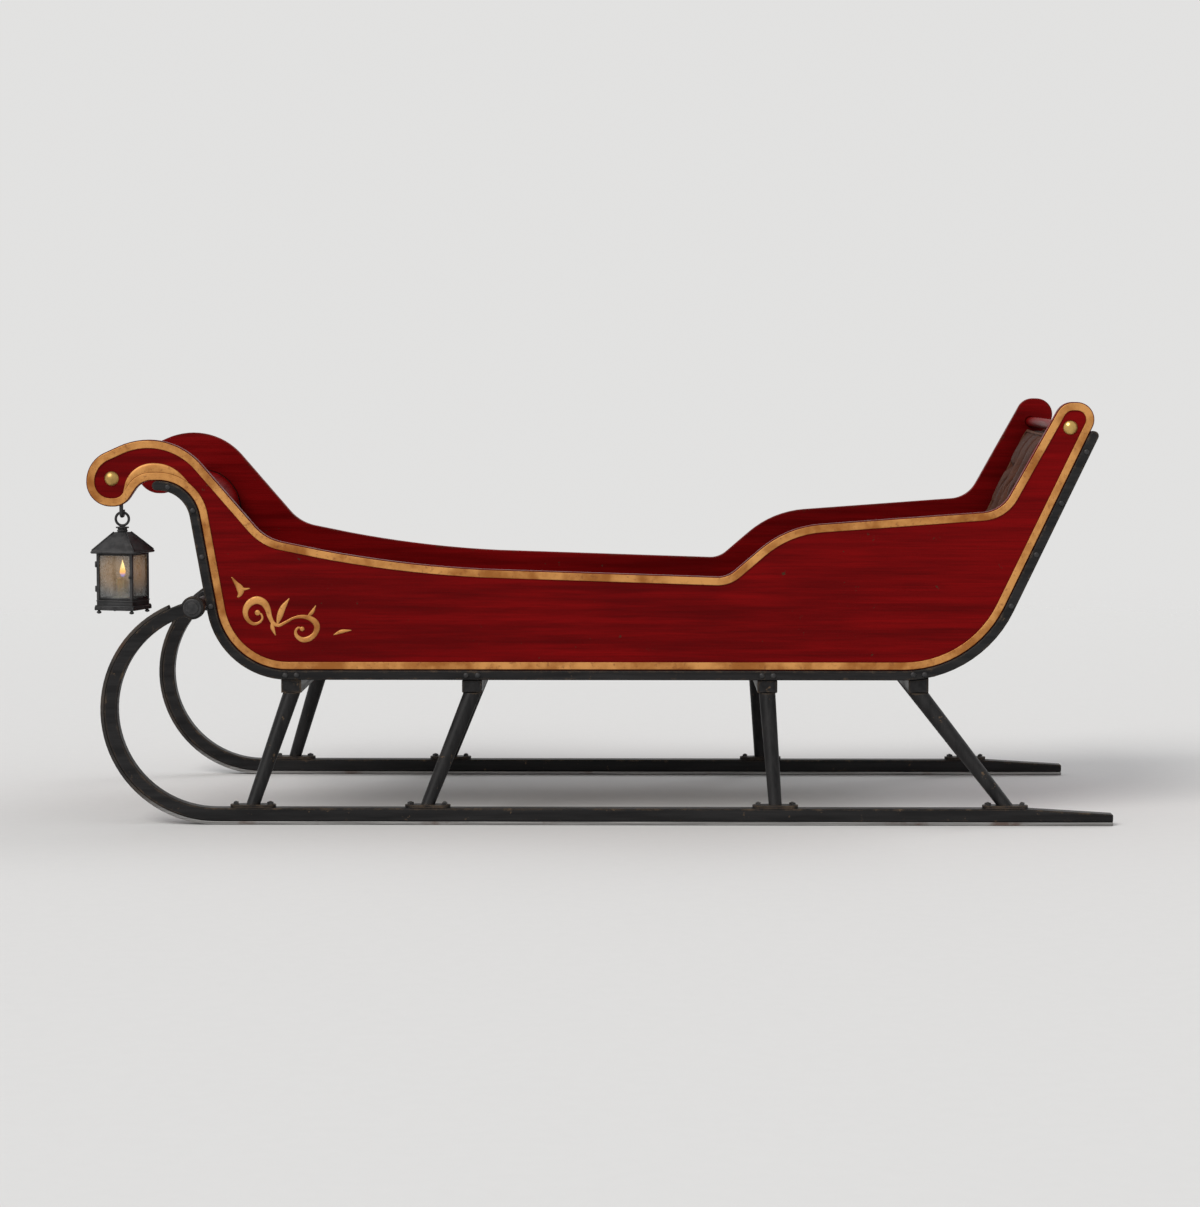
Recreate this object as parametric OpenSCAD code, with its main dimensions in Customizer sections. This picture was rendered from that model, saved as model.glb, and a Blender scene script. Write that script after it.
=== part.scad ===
// Open farm sleigh: a low scrolled body on two bent runners, with a lantern hung from its left scroll.
// Millimetres. +X is the way it travels, +Y is its left side, +Z is up.
// The origin is on the ground, at the middle of the overall length and width.

/* [Overall] */
// Length from the nose of the scrolls to the tails of the runners
overall_l = 2340; // [2240:10:2600]
// Distance between the runners' centre lines
track_w = 940; // [930:5:1060]

/* [Side panels] */
// Width of the body over the side panels
body_w = 800; // [720:10:810]
// Thickness of a side panel
panel_t = 22; // [18:1:28]
// Height of the floor's top, which is the panels' lower edge, above the ground
floor_z = 345; // [330:5:420]
// Height of the scroll's crown above the floor
scroll_h = 525; // [505:5:555]
// Depth of the scroll's band at its crown
band_h = 91; // [82:1:98]
// Radius of the round end of the scroll
eye_r = 56; // [50:1:60]
// Height of the scroll's lower edge above the floor
eye_h = 375; // [360:5:385]
// Distance from the dash's foot forward to the scroll's nose
scroll_reach = 321; // [310:1:340]
// Lean of the dash from upright, in degrees
dash_rake = 10; // [6:0.1:11]
// Radius of the bend at the dash's foot
toe_r = 165; // [140:5:180]
// Radius of the inside of the scroll's throat
throat_r = 95; // [80:1:100]
// Distance from the scroll's nose back to the front of its throat
throat_l = 126; // [120:1:132]
// Distance from the scroll's nose back to the rear of its round end
eye_l = 86; // [83:1:90]
// Radius where the throat turns into the round end
eye_rear_r = 45; // [35:1:48]
// Drop of the brow, where the arched crown meets the nose, below the crown
brow_drop = 46; // [40:1:50]
// Distance from the scroll's nose back to the corner that the crown's arch rounds off
crown_l = 185; // [175:1:195]
// Rise of that corner above the crown
crown_rise = 38; // [34:1:42]
// Radius of the crown's arch
crown_r = 160; // [140:5:175]
// Width of the neck's root, back from the dash's foot
neck_l = 89; // [80:1:110]
// Height of the neck's root above the floor
neck_h = 302; // [290:1:320]
// Radius at the neck's root
neck_r = 110; // [80:5:130]
// Distance from the scroll's nose back to the start of the waist
waist_l = 720; // [690:10:740]
// Height of the low waist above the floor, at its rear end
waist_h = 214; // [190:1:235]
// Fall of the waist from its front to its rear end
waist_fall = 24; // [15:1:30]
// Radius of the long hollow in front of the waist
waist_r = 2700; // [1500:100:2800]
// Distance from the back's foot forward to the arm's step
step_x = 565; // [550:5:600]
// Length of the arm's step
step_l = 135; // [120:1:150]
// Radius at the foot of the arm's step
step_r = 60; // [40:5:80]
// Height of the arm's shoulder above the floor
arm_h = 330; // [315:1:342]
// Radius of the arm's shoulder
arm_r = 240; // [160:10:280]
// Height of the back's root, where the arm ends
root_h = 366; // [355:1:390]
// Radius at the back's root
root_r = 75; // [50:5:90]
// Height of the back's tips above the floor
back_h = 614; // [580:1:660]
// Lean of the back from upright, in degrees
back_rake = 25.5; // [22:0.5:27]
// Length of the back's tip along X, before its corners are rounded
tip_l = 96; // [90:1:110]
// Radius of the corners of the back's tip
tip_r = 40; // [30:1:42]
// Widening of the back from its tip to its root, in degrees
root_flare = 3.5; // [2:0.5:5]
// Radius of the bend at the back's foot
heel_r = 255; // [220:5:265]
// Distance from the back's foot to the runners' tails
heel_inset = 310; // [290:5:340]

/* [Edges] */
// Thickness of the bent sill under a panel's edge
sill_t = 22; // [18:1:28]
// Distance that a sill stands out from its panel, on both faces
sill_lip = 7; // [4:1:9]
// Distance of the gold bead from the panel's edge
bead_inset = 2; // [1:0.5:4]
// Width of the gold bead
bead_w = 17; // [12:1:19]
// Height of the gold bead above the panel
bead_t = 3; // [2:0.5:5]

/* [Boards and seat] */
// Thickness of the floor, dash and back boards
board_t = 16; // [12:1:18]
// Number of floor boards
floor_boards_n = 5; // [4:1:7]
// Gap between two floor boards
board_gap = 3; // [2:0.5:5]
// Height of the seat board's top above the floor
seat_h = 170; // [150:5:190]
// Thickness of the seat board and of its riser
seat_t = 20; // [16:1:24]
// Depth of the seat board from front to back
seat_l = 500; // [460:10:530]
// Thickness of the seat cushion
cushion_t = 90; // [70:5:100]
// Thickness of the back cushion
back_cushion_t = 66; // [50:1:70]
// Rounding of the cushions' corners
cushion_r = 24; // [15:1:24]

/* [Rods] */
// Radius of the rod between the scrolls
dash_rod_r = 10; // [7:1:12]
// Radius of the rail between the back's tips
back_rail_r = 12; // [9:1:14]
// Radius of the brass caps on the rods' ends
cap_r = 17; // [15:1:19]
// Height of the brass caps
cap_h = 9; // [6:1:11]

/* [Running gear] */
// Width of a runner
runner_w = 36; // [32:1:44]
// Depth of a runner without its shoe
runner_h = 30; // [26:1:36]
// Thickness of the steel shoe
shoe_t = 8; // [5:1:10]
// Outside radius of a runner's curl
curl_r = 261; // [250:1:270]
// Gap between the nose bar and the sills behind it
nose_gap = 6; // [4:1:10]
// Angle of the nose bar round the curl, above level
nose_angle = 78; // [76:0.5:79]
// Length of the taper at a runner's tail
tail_l = 200; // [120:10:260]
// Depth of a runner at the end of its tail
tail_h = 18; // [14:1:22]
// Depth of a cross beam below the sills
bench_h = 30; // [26:1:40]
// Width of a cross beam
bench_w = 46; // [42:1:50]
// Radius of a leg at its top
leg_top_r = 19; // [16:1:20]
// Radius of a leg at its foot
leg_foot_r = 15; // [12:0.5:15]
// Length of a leg's foot plate
foot_l = 104; // [90:2:120]
// Thickness of a leg's foot plate
foot_t = 7; // [5:1:9]
// Radius of the nose bar
nose_bar_r = 14; // [11:1:15]
// Length of a nose bracket along the bar
bracket_w = 34; // [26:1:40]
// Distance of a nose bracket from the middle
bracket_y = 234; // [180:2:280]
// Radius of the draw bolt's hole through the front beam
draw_hole_r = 8.5; // [6:0.5:9.5]

/* [Lantern] */
// Side of the lantern's base
lantern_w = 98; // [86:1:100]
// Height of the lantern's posts
lantern_post_h = 106; // [90:2:110]
// Side of a lantern post
lantern_post_w = 7; // [5:0.5:9]
// Overhang of the lantern's eaves
eave_lap = 5; // [3:0.5:6]
// Height of the lantern's roof above its eaves
roof_h = 42; // [34:1:46]
// Turn of the lantern about its own axis, in degrees
lantern_turn = 17; // [0:1:30]
// Distance of the hook's bar below the scroll
hook_drop = 22; // [20:1:26]
// Distance of the lantern's axis from the hook's shank
hook_throat = 14; // [13:0.5:18]
// Radius of the hook's bar
hook_r = 4.5; // [3.5:0.25:5]
// Inner radius of the lantern's ring
ring_in_r = 12; // [11:0.5:14]
// Radius of the ring's wire
ring_wire_r = 3; // [2:0.25:3.5]

/* [Hidden] */
// Clearance between pieces that are fixed to each other but drawn apart
fit = 0.2;
// Clearance between a bent piece and the bent edge that it lies on
lay = 0.1;
// Clearance of the lantern's ring over its hook
swing_fit = 0.3;
// Clearance between a cushion and what it lies on
soft_fit = 0.3;
// Distance that a cutting shape runs past what it cuts
over = 1;
// Depth by which a piece is sunk into the one that it is one solid with
sunk = 1;
// Largest angle and longest chord of one step round a drawn curve
arc_step = 5;
arc_chord = 45;
// Largest angle of one step round a runner's curl, and of one round a sill's end
curl_step = 4;
end_step = 18;
$fn = 48;

nose_x = overall_l / 2;
tail_x = -overall_l / 2;
toe_x = nose_x - scroll_reach;
heel_x = tail_x + heel_inset;
throat_h = scroll_h - band_h;
brow_h = scroll_h - brow_drop;
brow_slope = atan2(brow_drop + crown_rise, crown_l);
// Straight length of the nose between the brow's bend and the round end's
nose_flat = 1;
brow_r = (brow_h - eye_h - eye_r - nose_flat) / tan(45 - brow_slope / 2);
panel_out = body_w / 2;
panel_in = panel_out - panel_t;
sill_out = panel_out + sill_lip;
sill_in = panel_in - sill_lip;

// x of a line along the back's rear edge, d ahead of it, and along the dash's front edge, d ahead of it
function back_x(h, d = 0) = heel_x - h * tan(back_rake) + d / cos(back_rake);
function dash_x(h, d = 0) = toe_x + h * tan(dash_rake) + d / cos(dash_rake);
tip_x = back_x(back_h);
tip_front_x = tip_x + tip_l;
root_rake = back_rake + root_flare;

// Corners of a side panel, anticlockwise from the scroll's nose: [x, height above the floor, radius]
panel_corners = [
    [nose_x, brow_h, brow_r],
    [nose_x - crown_l, scroll_h + crown_rise, crown_r],
    [toe_x - neck_l, neck_h, neck_r],
    [nose_x - waist_l, waist_h + waist_fall, waist_r],
    [heel_x + step_x, waist_h, step_r],
    [heel_x + step_x - step_l, arm_h, arm_r],
    [tip_front_x + (back_h - root_h) * tan(root_rake), root_h, root_r],
    [tip_front_x, back_h, tip_r],
    [tip_x, back_h, tip_r],
    [heel_x, 0, heel_r],
    [toe_x, 0, toe_r],
    [dash_x(throat_h), throat_h, throat_r],
    [nose_x - throat_l, throat_h, eye_rear_r],
    [nose_x - eye_l, eye_h, eye_rear_r],
    [nose_x, eye_h, eye_r],
];

// Lengths of the tangents at the bent corners of the lower edge
toe_tangent = toe_r * tan(45 - dash_rake / 2);
heel_tangent = heel_r * tan(45 - back_rake / 2);
throat_tangent = throat_r * tan(45 - dash_rake / 2);
// Flat length of the bent boards past their bends, at the floor and in the throat
floor_lap = 2;
throat_lap = 3;
// Distance of the upper end of the sills and of the back board below the back's tips
edge_drop = 72;
floor_front_x = toe_x - toe_tangent - floor_lap;
floor_rear_x = heel_x + heel_tangent + floor_lap;
edge_top_h = back_h - edge_drop;
throat_end_x = dash_x(throat_h) + throat_tangent + throat_lap;

// Lower edge of a panel, from the back's tip to the scroll's throat, as three runs of corners
back_run = [[back_x(edge_top_h), edge_top_h, 0], [heel_x, 0, heel_r], [floor_rear_x, 0, 0]];
dash_run = [[floor_front_x, 0, 0], [toe_x, 0, toe_r], [dash_x(throat_h), throat_h, throat_r],
    [throat_end_x, throat_h, 0]];
edge_run = [back_run[0], back_run[1], dash_run[1], dash_run[2], dash_run[3]];

// Place of the front rod in the scroll's round end: back from its middle, and above it
rod_back = 2;
rod_rise = 8;
// Distance of the rail below the back's tips
rail_drop = 58;
// Rods: [x, height above the floor]
eye_c = [nose_x - eye_r - rod_back, eye_h + eye_r + rod_rise];
tip_h = back_h - rail_drop;
tip_c = [(back_x(tip_h) + tip_front_x + (back_h - tip_h) * tan(root_rake)) / 2, tip_h];

// x of the dash's outer side at a height, d outside the panels' edge
function dash_front(h, d) =
    h < toe_r - (toe_r + d) * sin(dash_rake)
        ? toe_x - toe_tangent + sqrt(pow(toe_r + d, 2) - pow(toe_r - h, 2))
        : dash_x(h, d);

// Running gear
// Wall of a runner's eye round the nose bar, and of a bracket round it
nose_eye_t = 12;
bracket_t = 9;
// Length of the nose bar outside the runners
nose_bar_end = 6;
// Angle round the curl from a shoe's end to the nose bar
shoe_short = 12;
// Length by which a leg is drawn past both ends before it is cut level
leg_more = 60;
sill_z = floor_z - sill_t;
bench_z = sill_z - bench_h;
runner_z = shoe_t + runner_h;
runner_y = track_w / 2;
curl_mid_r = curl_r - shoe_t - runner_h / 2;
nose_z = curl_r + curl_mid_r * sin(nose_angle);
nose_c = [dash_front(nose_z - floor_z, sill_t) + (nose_bar_r + nose_gap) / cos(dash_rake), nose_z];
curl_c = [nose_c.x - curl_mid_r * cos(nose_angle), curl_r];
nose_eye_r = nose_bar_r + nose_eye_t;
bracket_r = nose_bar_r + bracket_t;
leg_y = panel_in + leg_top_r / 3;
// Cross beams and legs, front to back: [x of the bend that they keep to, beam ahead of it, foot ahead of it]
leg_places = [
    [toe_x, -145, -64],
    [toe_x, -560, -462],
    [heel_x, 472, 456],
    [heel_x, 126, -66],
];
KEEPS_TO = 0;
BEAM = 1;
FOOT = 2;

// Seat
// Gap between the seat board and the back
seat_gap = 16;
// Distance that the seat board stands out over its riser
seat_lip = 14;
// Distance of the seat cushion from the seat board's front and rear edges
cushion_inset = 4;
// Gaps between a cushion and the panels, between the cushions, and below the back's upper end
cushion_gap = 5;
cushions_apart = 4;
cushion_drop = 8;
seat_back_x = back_x(seat_h - seat_t) + seat_gap;
seat_front_x = seat_back_x + seat_l;
riser_x = seat_front_x - seat_lip - seat_t;
cushion_side = panel_in - cushion_gap;
cushion_z = seat_h + soft_fit;
back_cushion_h0 = cushion_z + cushion_t + cushions_apart;
back_cushion_h1 = edge_top_h - cushion_drop;

// Lantern, from the scroll down
// Distance of the hook behind the front rod
hook_back = 20;
// Inside radius of the hook's bends, depth of its shank in the scroll, and height of its upturned tip
hook_inside_r = 4;
hook_depth = 26;
hook_tip_h = 5;
// Vent on the roof: its height with its lid, its radius, and the lid's thickness and radius
vent_h = 12;
vent_r = 11;
vent_lid_t = 3;
vent_lid_r = 15;
// Knob on the vent, which the ring is let into
knob_h = 9;
knob_r = 6.5;
ring_lap = 3;
// Roof: depth of its eaves, their small slope at the top, and the side of its flat top
eave_t = 6;
eave_slope = 2;
roof_top_w = 30;
// Base with its plinth, which stands out below the posts
base_t = 24;
plinth_t = 8;
plinth_lip = 4;
glass_t = 2.5;
// Candle, whose height is a share of the posts', and its dish
candle_r = 13;
candle_share = 0.45;
dish_r = 21;
dish_h = 6;
lantern_x = eye_c.x - hook_back;
hook_y = panel_in + panel_t / 2;
lantern_y = hook_y - hook_throat;
hook_tip_y = lantern_y - hook_throat;
eye_low = floor_z + eye_h;
hook_z = eye_low - hook_drop;
hook_bend_r = hook_r + hook_inside_r;
ring_r = ring_in_r + ring_wire_r;
ring_z = hook_z - (ring_in_r - hook_r - swing_fit);
cap_top_z = ring_z - ring_in_r;
roof_top_z = cap_top_z - knob_h - vent_h + ring_lap;
eave_z = roof_top_z - roof_h;
post_top_z = eave_z - eave_t;
base_z = post_top_z - lantern_post_h;
lantern_inside = lantern_w - 2 * plinth_lip;
post_c = lantern_inside / 2 - lantern_post_w / 2;

RED = [0.45, 0.04, 0.05];
GOLD = [0.72, 0.50, 0.20];
BLACK = [0.09, 0.09, 0.09];
STEEL = [0.35, 0.35, 0.37];
LEATHER = [0.20, 0.11, 0.08];
WOOD = [0.42, 0.29, 0.18];
GLASS = [0.85, 0.88, 0.85];
WAX = [0.93, 0.88, 0.75];

// Rounded outlines from short tables of corners

function unit(v) = v / norm(v);
function left_of(v) = [-v.y, v.x];
function flat(c) = [c.x, c.y];
function turned(a) = [cos(a), sin(a)];
function short_way(a) = a > 180 ? a - 360 : a < -180 ? a + 360 : a;
function reversed(list) = [for (i = [len(list) - 1:-1:0]) list[i]];

// Points round one corner q, between its neighbours p and s, at radius r
function bend(p, q, s, r) =
    let (u = unit(p - q), v = unit(s - q), half = acos(u * v) / 2)
    let (c = q + unit(u + v) * r / sin(half))
    let (from = q + u * r / tan(half) - c, to = q + v * r / tan(half) - c)
    let (start = atan2(from.y, from.x), sweep = short_way(atan2(to.y, to.x) - start))
    let (n = max(1, ceil(abs(sweep) / arc_step), ceil(r * abs(sweep) * PI / 180 / arc_chord)))
    [for (i = [0:n]) c + r * turned(start + sweep * i / n)];

// A corner moved d to the left of the run, with its radius made to match
function moved_corner(p, q, s, d) =
    let (e = unit(flat(q) - flat(p)), f = unit(flat(s) - flat(q)))
    let (m = left_of(e) + left_of(f), at = flat(q) + d * m / (1 + left_of(e) * left_of(f)))
    [at.x, at.y, q.z - d * sign(cross(e, f))];

function moved_loop(t, d) =
    let (n = len(t))
    [for (i = [0:n - 1]) moved_corner(t[(i + n - 1) % n], t[i], t[(i + 1) % n], d)];

function moved_end(q, along, d) = let (at = flat(q) + d * left_of(unit(along))) [at.x, at.y, 0];

function moved_run(t, d) =
    let (n = len(t) - 1)
    concat(
        [moved_end(t[0], flat(t[1]) - flat(t[0]), d)],
        [for (i = [1:n - 1]) moved_corner(t[i - 1], t[i], t[i + 1], d)],
        [moved_end(t[n], flat(t[n]) - flat(t[n - 1]), d)]
    );

function loop_points(t) =
    let (n = len(t))
    [for (i = [0:n - 1]) each bend(flat(t[(i + n - 1) % n]), flat(t[i]), flat(t[(i + 1) % n]), t[i].z)];

function run_points(t) =
    let (n = len(t) - 1)
    concat(
        [flat(t[0])],
        [for (i = [1:n - 1]) each bend(flat(t[i - 1]), flat(t[i]), flat(t[i + 1]), t[i].z)],
        [flat(t[n])]
    );

// Outline of a strip that follows a run of corners, from d0 to d1 outside it
module strip(run, d0, d1)
    polygon(concat(run_points(moved_run(run, -d0)), reversed(run_points(moved_run(run, -d1)))));

// Points round a half-round end, clockwise from p to q
function half_round(p, q) =
    let (c = (p + q) / 2, r = norm(q - p) / 2, start = atan2(p.y - c.y, p.x - c.x))
    [for (a = [end_step:end_step:180 - end_step]) c + r * turned(start - a)];

// The same strip with half-round ends
module round_strip(run, d0, d1) {
    near = run_points(moved_run(run, -d0));
    far = run_points(moved_run(run, -d1));
    polygon(concat(
        near,
        half_round(near[len(near) - 1], far[len(far) - 1]),
        reversed(far),
        half_round(far[0], near[0])
    ));
}

// An outline drawn in X and Z, made into a slab from y0 to y1
module slab(y0, y1, z = floor_z)
    translate([0, y1, z])
        rotate([90, 0, 0])
            linear_extrude(y1 - y0)
                children();

module on_side(left) {
    if (left)
        children();
    else
        mirror([0, 1, 0])
            children();
}

// A round bar across the sleigh at [x, z]
module cross_bar(at, r, y0, y1)
    translate([at.x, y1, at.y])
        rotate([90, 0, 0])
            cylinder(h = y1 - y0, r = r);

function up(c) = [c.x, c.y + floor_z];

// Body

module side_panel(left)
    color(RED)
        on_side(left)
            difference() {
                slab(panel_in, panel_out)
                    polygon(loop_points(panel_corners));
                cross_bar(up(eye_c), dash_rod_r + fit, panel_in - over, panel_out + over);
                cross_bar(up(tip_c), back_rail_r + fit, panel_in - over, panel_out + over);
                if (left)
                    translate([lantern_x, hook_y, eye_low - over])
                        cylinder(h = hook_depth + over + fit, r = hook_r + fit);
            }

module edge_bead(left)
    color(GOLD)
        on_side(left)
            slab(panel_out, panel_out + bead_t)
                difference() {
                    polygon(loop_points(moved_loop(panel_corners, bead_inset)));
                    polygon(loop_points(moved_loop(panel_corners, bead_inset + bead_w)));
                }

module sill(left)
    color(BLACK)
        on_side(left)
            slab(sill_in, sill_out)
                round_strip(edge_run, lay, sill_t);

module floor_boards() {
    w = (2 * sill_in - (floor_boards_n - 1) * board_gap) / floor_boards_n;
    color(WOOD)
        for (i = [0:floor_boards_n - 1])
            translate([floor_rear_x, i * (w + board_gap) - sill_in, floor_z - board_t])
                cube([floor_front_x - floor_rear_x, w, board_t]);
}

module dash_board()
    color(RED)
        slab(-sill_in, sill_in)
            strip(dash_run, 0, board_t);

module back_board()
    color(RED)
        slab(-sill_in, sill_in)
            strip(back_run, 0, board_t);

module seat_riser()
    color(RED)
        translate([riser_x, fit - panel_in, floor_z])
            cube([seat_t, 2 * (panel_in - fit), seat_h - seat_t]);

module seat_board()
    color(RED)
        translate([seat_back_x, fit - panel_in, floor_z + seat_h - seat_t])
            cube([seat_l, 2 * (panel_in - fit), seat_t]);

module seat_cushion() {
    top = cushion_z + cushion_t;
    front = seat_front_x - cushion_inset;
    rear = seat_back_x + cushion_inset;
    color(LEATHER)
        slab(-cushion_side, cushion_side)
            polygon(loop_points([
                [front, cushion_z, cushion_r],
                [front, top, cushion_r],
                [rear, top, cushion_r],
                [rear, cushion_z, cushion_r],
            ]));
}

module back_cushion()
    color(LEATHER)
        slab(-cushion_side, cushion_side)
            polygon(loop_points([
                [back_x(back_cushion_h0, soft_fit + back_cushion_t), back_cushion_h0, cushion_r],
                [back_x(back_cushion_h1, soft_fit + back_cushion_t), back_cushion_h1, cushion_r],
                [back_x(back_cushion_h1, soft_fit), back_cushion_h1, cushion_r],
                [back_x(back_cushion_h0, soft_fit), back_cushion_h0, cushion_r],
            ]));

module dash_rod()
    color(GOLD)
        cross_bar(up(eye_c), dash_rod_r, -panel_out, panel_out);

module back_rail()
    color(RED)
        cross_bar(up(tip_c), back_rail_r, -panel_out, panel_out);

// A dome of base radius cap_r on a panel's outer face
module rod_cap(at) {
    ball = (cap_r * cap_r + cap_h * cap_h) / (2 * cap_h);
    intersection() {
        translate([at.x, panel_out + cap_h - ball, at.y])
            sphere(r = ball, $fn = 64);
        translate([at.x - cap_r - over, panel_out, at.y - cap_r - over])
            cube([2 * (cap_r + over), cap_h + over, 2 * (cap_r + over)]);
    }
}

module rod_caps()
    color(GOLD)
        for (left = [true, false])
            on_side(left)
                for (at = [up(eye_c), up(tip_c)])
                    rod_cap(at);

// Running gear

// Everything inside the body's lower edge, out to d outside it
module body_inside(d)
    polygon(concat(run_points(moved_run(edge_run, -d)), [[toe_x, throat_h], [back_x(edge_top_h), throat_h]]));

module bench(i) {
    x = leg_places[i][KEEPS_TO] + leg_places[i][BEAM];
    color(BLACK)
        difference() {
            translate([x - bench_w / 2, -panel_out, bench_z])
                cube([bench_w, 2 * panel_out, bench_h + sill_t]);
            slab(-panel_out - over, panel_out + over)
                body_inside(board_t + lay);
            for (left = [true, false])
                on_side(left)
                    slab(sill_in - fit, panel_out + over)
                        body_inside(sill_t + lay);
            if (i == 0)
                translate([x - bench_w, 0, bench_z + (bench_h + sill_t - board_t) / 2])
                    rotate([0, 90, 0])
                        cylinder(h = 2 * bench_w, r = draw_hole_r);
        }
}

module leg(i, left) {
    head = [leg_places[i][KEEPS_TO] + leg_places[i][BEAM], leg_y, bench_z];
    foot = [leg_places[i][KEEPS_TO] + leg_places[i][FOOT], runner_y, runner_z + foot_t];
    along = head - foot;
    length = norm(along);
    slope = (leg_top_r - leg_foot_r) / length;
    color(BLACK)
        on_side(left) {
            intersection() {
                translate(foot)
                    rotate([0, acos(along.z / length), atan2(along.y, along.x)])
                        translate([0, 0, -leg_more])
                            rotate([0, 0, 90])
                                cylinder(
                                    h = length + 2 * leg_more,
                                    r1 = leg_foot_r - slope * leg_more,
                                    r2 = leg_top_r + slope * leg_more
                                );
                translate([tail_x, 0, foot.z - sunk])
                    cube([overall_l, 2 * runner_y, bench_z - foot.z + sunk]);
            }
            for (end = [-1, 1])
                translate([foot.x + end * (foot_l - runner_w) / 2, runner_y, runner_z])
                    cylinder(h = foot_t, r = runner_w / 2);
            translate([foot.x - (foot_l - runner_w) / 2, runner_y - runner_w / 2, runner_z])
                cube([foot_l - runner_w, runner_w, foot_t]);
        }
}

// Line of a runner at depth d inside its sole, from the tail round the curl to an angle above level
function runner_line(d, last) =
    let (n = ceil((last + 90) / curl_step))
    [for (i = [0:n]) curl_c + (curl_r - d) * turned(-90 + (last + 90) * i / n)];

module runner(left)
    color(BLACK)
        on_side(left)
            difference() {
                union() {
                    slab(runner_y - runner_w / 2, runner_y + runner_w / 2, 0)
                        polygon(concat(
                            [[tail_x, shoe_t]],
                            runner_line(shoe_t, nose_angle),
                            reversed(runner_line(runner_z, nose_angle)),
                            [[tail_x + tail_l, runner_z], [tail_x, shoe_t + tail_h]]
                        ));
                    cross_bar(nose_c, nose_eye_r, runner_y - runner_w / 2, runner_y + runner_w / 2);
                }
                cross_bar(nose_c, nose_bar_r + fit, runner_y - runner_w, runner_y + runner_w);
            }

module shoe(left)
    color(STEEL)
        on_side(left)
            slab(runner_y - runner_w / 2, runner_y + runner_w / 2, 0)
                polygon(concat(
                    [[tail_x, 0]],
                    runner_line(0, nose_angle - shoe_short),
                    reversed(runner_line(shoe_t, nose_angle - shoe_short)),
                    [[tail_x, shoe_t]]
                ));

module nose_bar() {
    end = runner_y + runner_w / 2 + nose_bar_end;
    color(BLACK)
        cross_bar(nose_c, nose_bar_r, -end, end);
}

module nose_brackets()
    color(BLACK)
        for (left = [true, false])
            on_side(left)
                difference() {
                    union() {
                        cross_bar(nose_c, bracket_r, bracket_y - bracket_w / 2, bracket_y + bracket_w / 2);
                        translate([toe_x - toe_r / 2, bracket_y - bracket_w / 2, nose_c.y - bracket_r])
                            cube([nose_c.x - toe_x + toe_r / 2, bracket_w, 2 * bracket_r]);
                    }
                    cross_bar(nose_c, nose_bar_r + fit, bracket_y - bracket_w, bracket_y + bracket_w);
                    slab(bracket_y - bracket_w, bracket_y + bracket_w)
                        body_inside(board_t + lay);
                }

// Lantern

module at_lantern(z)
    translate([lantern_x, lantern_y, z])
        rotate([0, 0, -lantern_turn])
            children();

module block(w, h)
    translate([-w / 2, -w / 2, 0])
        cube([w, w, h]);

module lantern_hook() {
    bar_in = hook_tip_y + hook_bend_r;
    bar_out = hook_y - hook_bend_r;
    color(BLACK) {
        translate([lantern_x, hook_y, hook_z + hook_bend_r])
            cylinder(h = hook_drop - hook_bend_r + hook_depth, r = hook_r);
        cross_bar([lantern_x, hook_z], hook_r, bar_in, bar_out);
        translate([lantern_x, hook_tip_y, hook_z + hook_bend_r])
            cylinder(h = hook_tip_h, r = hook_r);
        for (end = [[bar_out, 0], [bar_in, 180]])
            translate([lantern_x, end[0], hook_z + hook_bend_r])
                rotate([0, 0, end[1]])
                    rotate([90, 0, 90])
                        rotate([0, 0, -90])
                            rotate_extrude(angle = 90)
                                translate([hook_bend_r, 0])
                                    circle(r = hook_r);
    }
}

module lantern_base()
    color(BLACK)
        at_lantern(base_z - base_t) {
            block(lantern_w, plinth_t);
            block(lantern_inside, base_t);
        }

module lantern_posts()
    color(BLACK)
        at_lantern(base_z)
            for (x = [-1, 1], y = [-1, 1])
                translate([x * post_c, y * post_c, 0])
                    block(lantern_post_w, lantern_post_h);

module lantern_glass()
    color(GLASS)
        at_lantern(base_z)
            for (a = [0:90:270])
                rotate([0, 0, a])
                    translate([-post_c + lantern_post_w / 2 + fit, post_c - glass_t / 2, 0])
                        cube([2 * post_c - lantern_post_w - 2 * fit, glass_t, lantern_post_h]);

module lantern_roof() {
    w = lantern_w + 2 * eave_lap;
    color(BLACK)
        at_lantern(post_top_z)
            hull() {
                block(w, eave_t);
                translate([0, 0, eave_t])
                    block(w - 2 * eave_slope, sunk);
                translate([0, 0, eave_t + roof_h - sunk])
                    block(roof_top_w, sunk);
            }
}

module lantern_cap()
    color(BLACK)
        at_lantern(roof_top_z) {
            cylinder(h = vent_h - vent_lid_t, r = vent_r);
            translate([0, 0, vent_h - vent_lid_t])
                cylinder(h = vent_lid_t, r = vent_lid_r);
            translate([0, 0, vent_h - sunk])
                cylinder(h = knob_h - ring_lap, r = knob_r);
            rotate([0, 0, lantern_turn])
                translate([0, 0, ring_z - roof_top_z])
                    rotate([90, 0, 0])
                        rotate_extrude()
                            translate([ring_r, 0])
                                circle(r = ring_wire_r);
        }

module lantern_candle()
    color(WAX)
        at_lantern(base_z) {
            cylinder(h = dish_h, r = dish_r);
            cylinder(h = lantern_post_h * candle_share, r = candle_r);
        }

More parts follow.
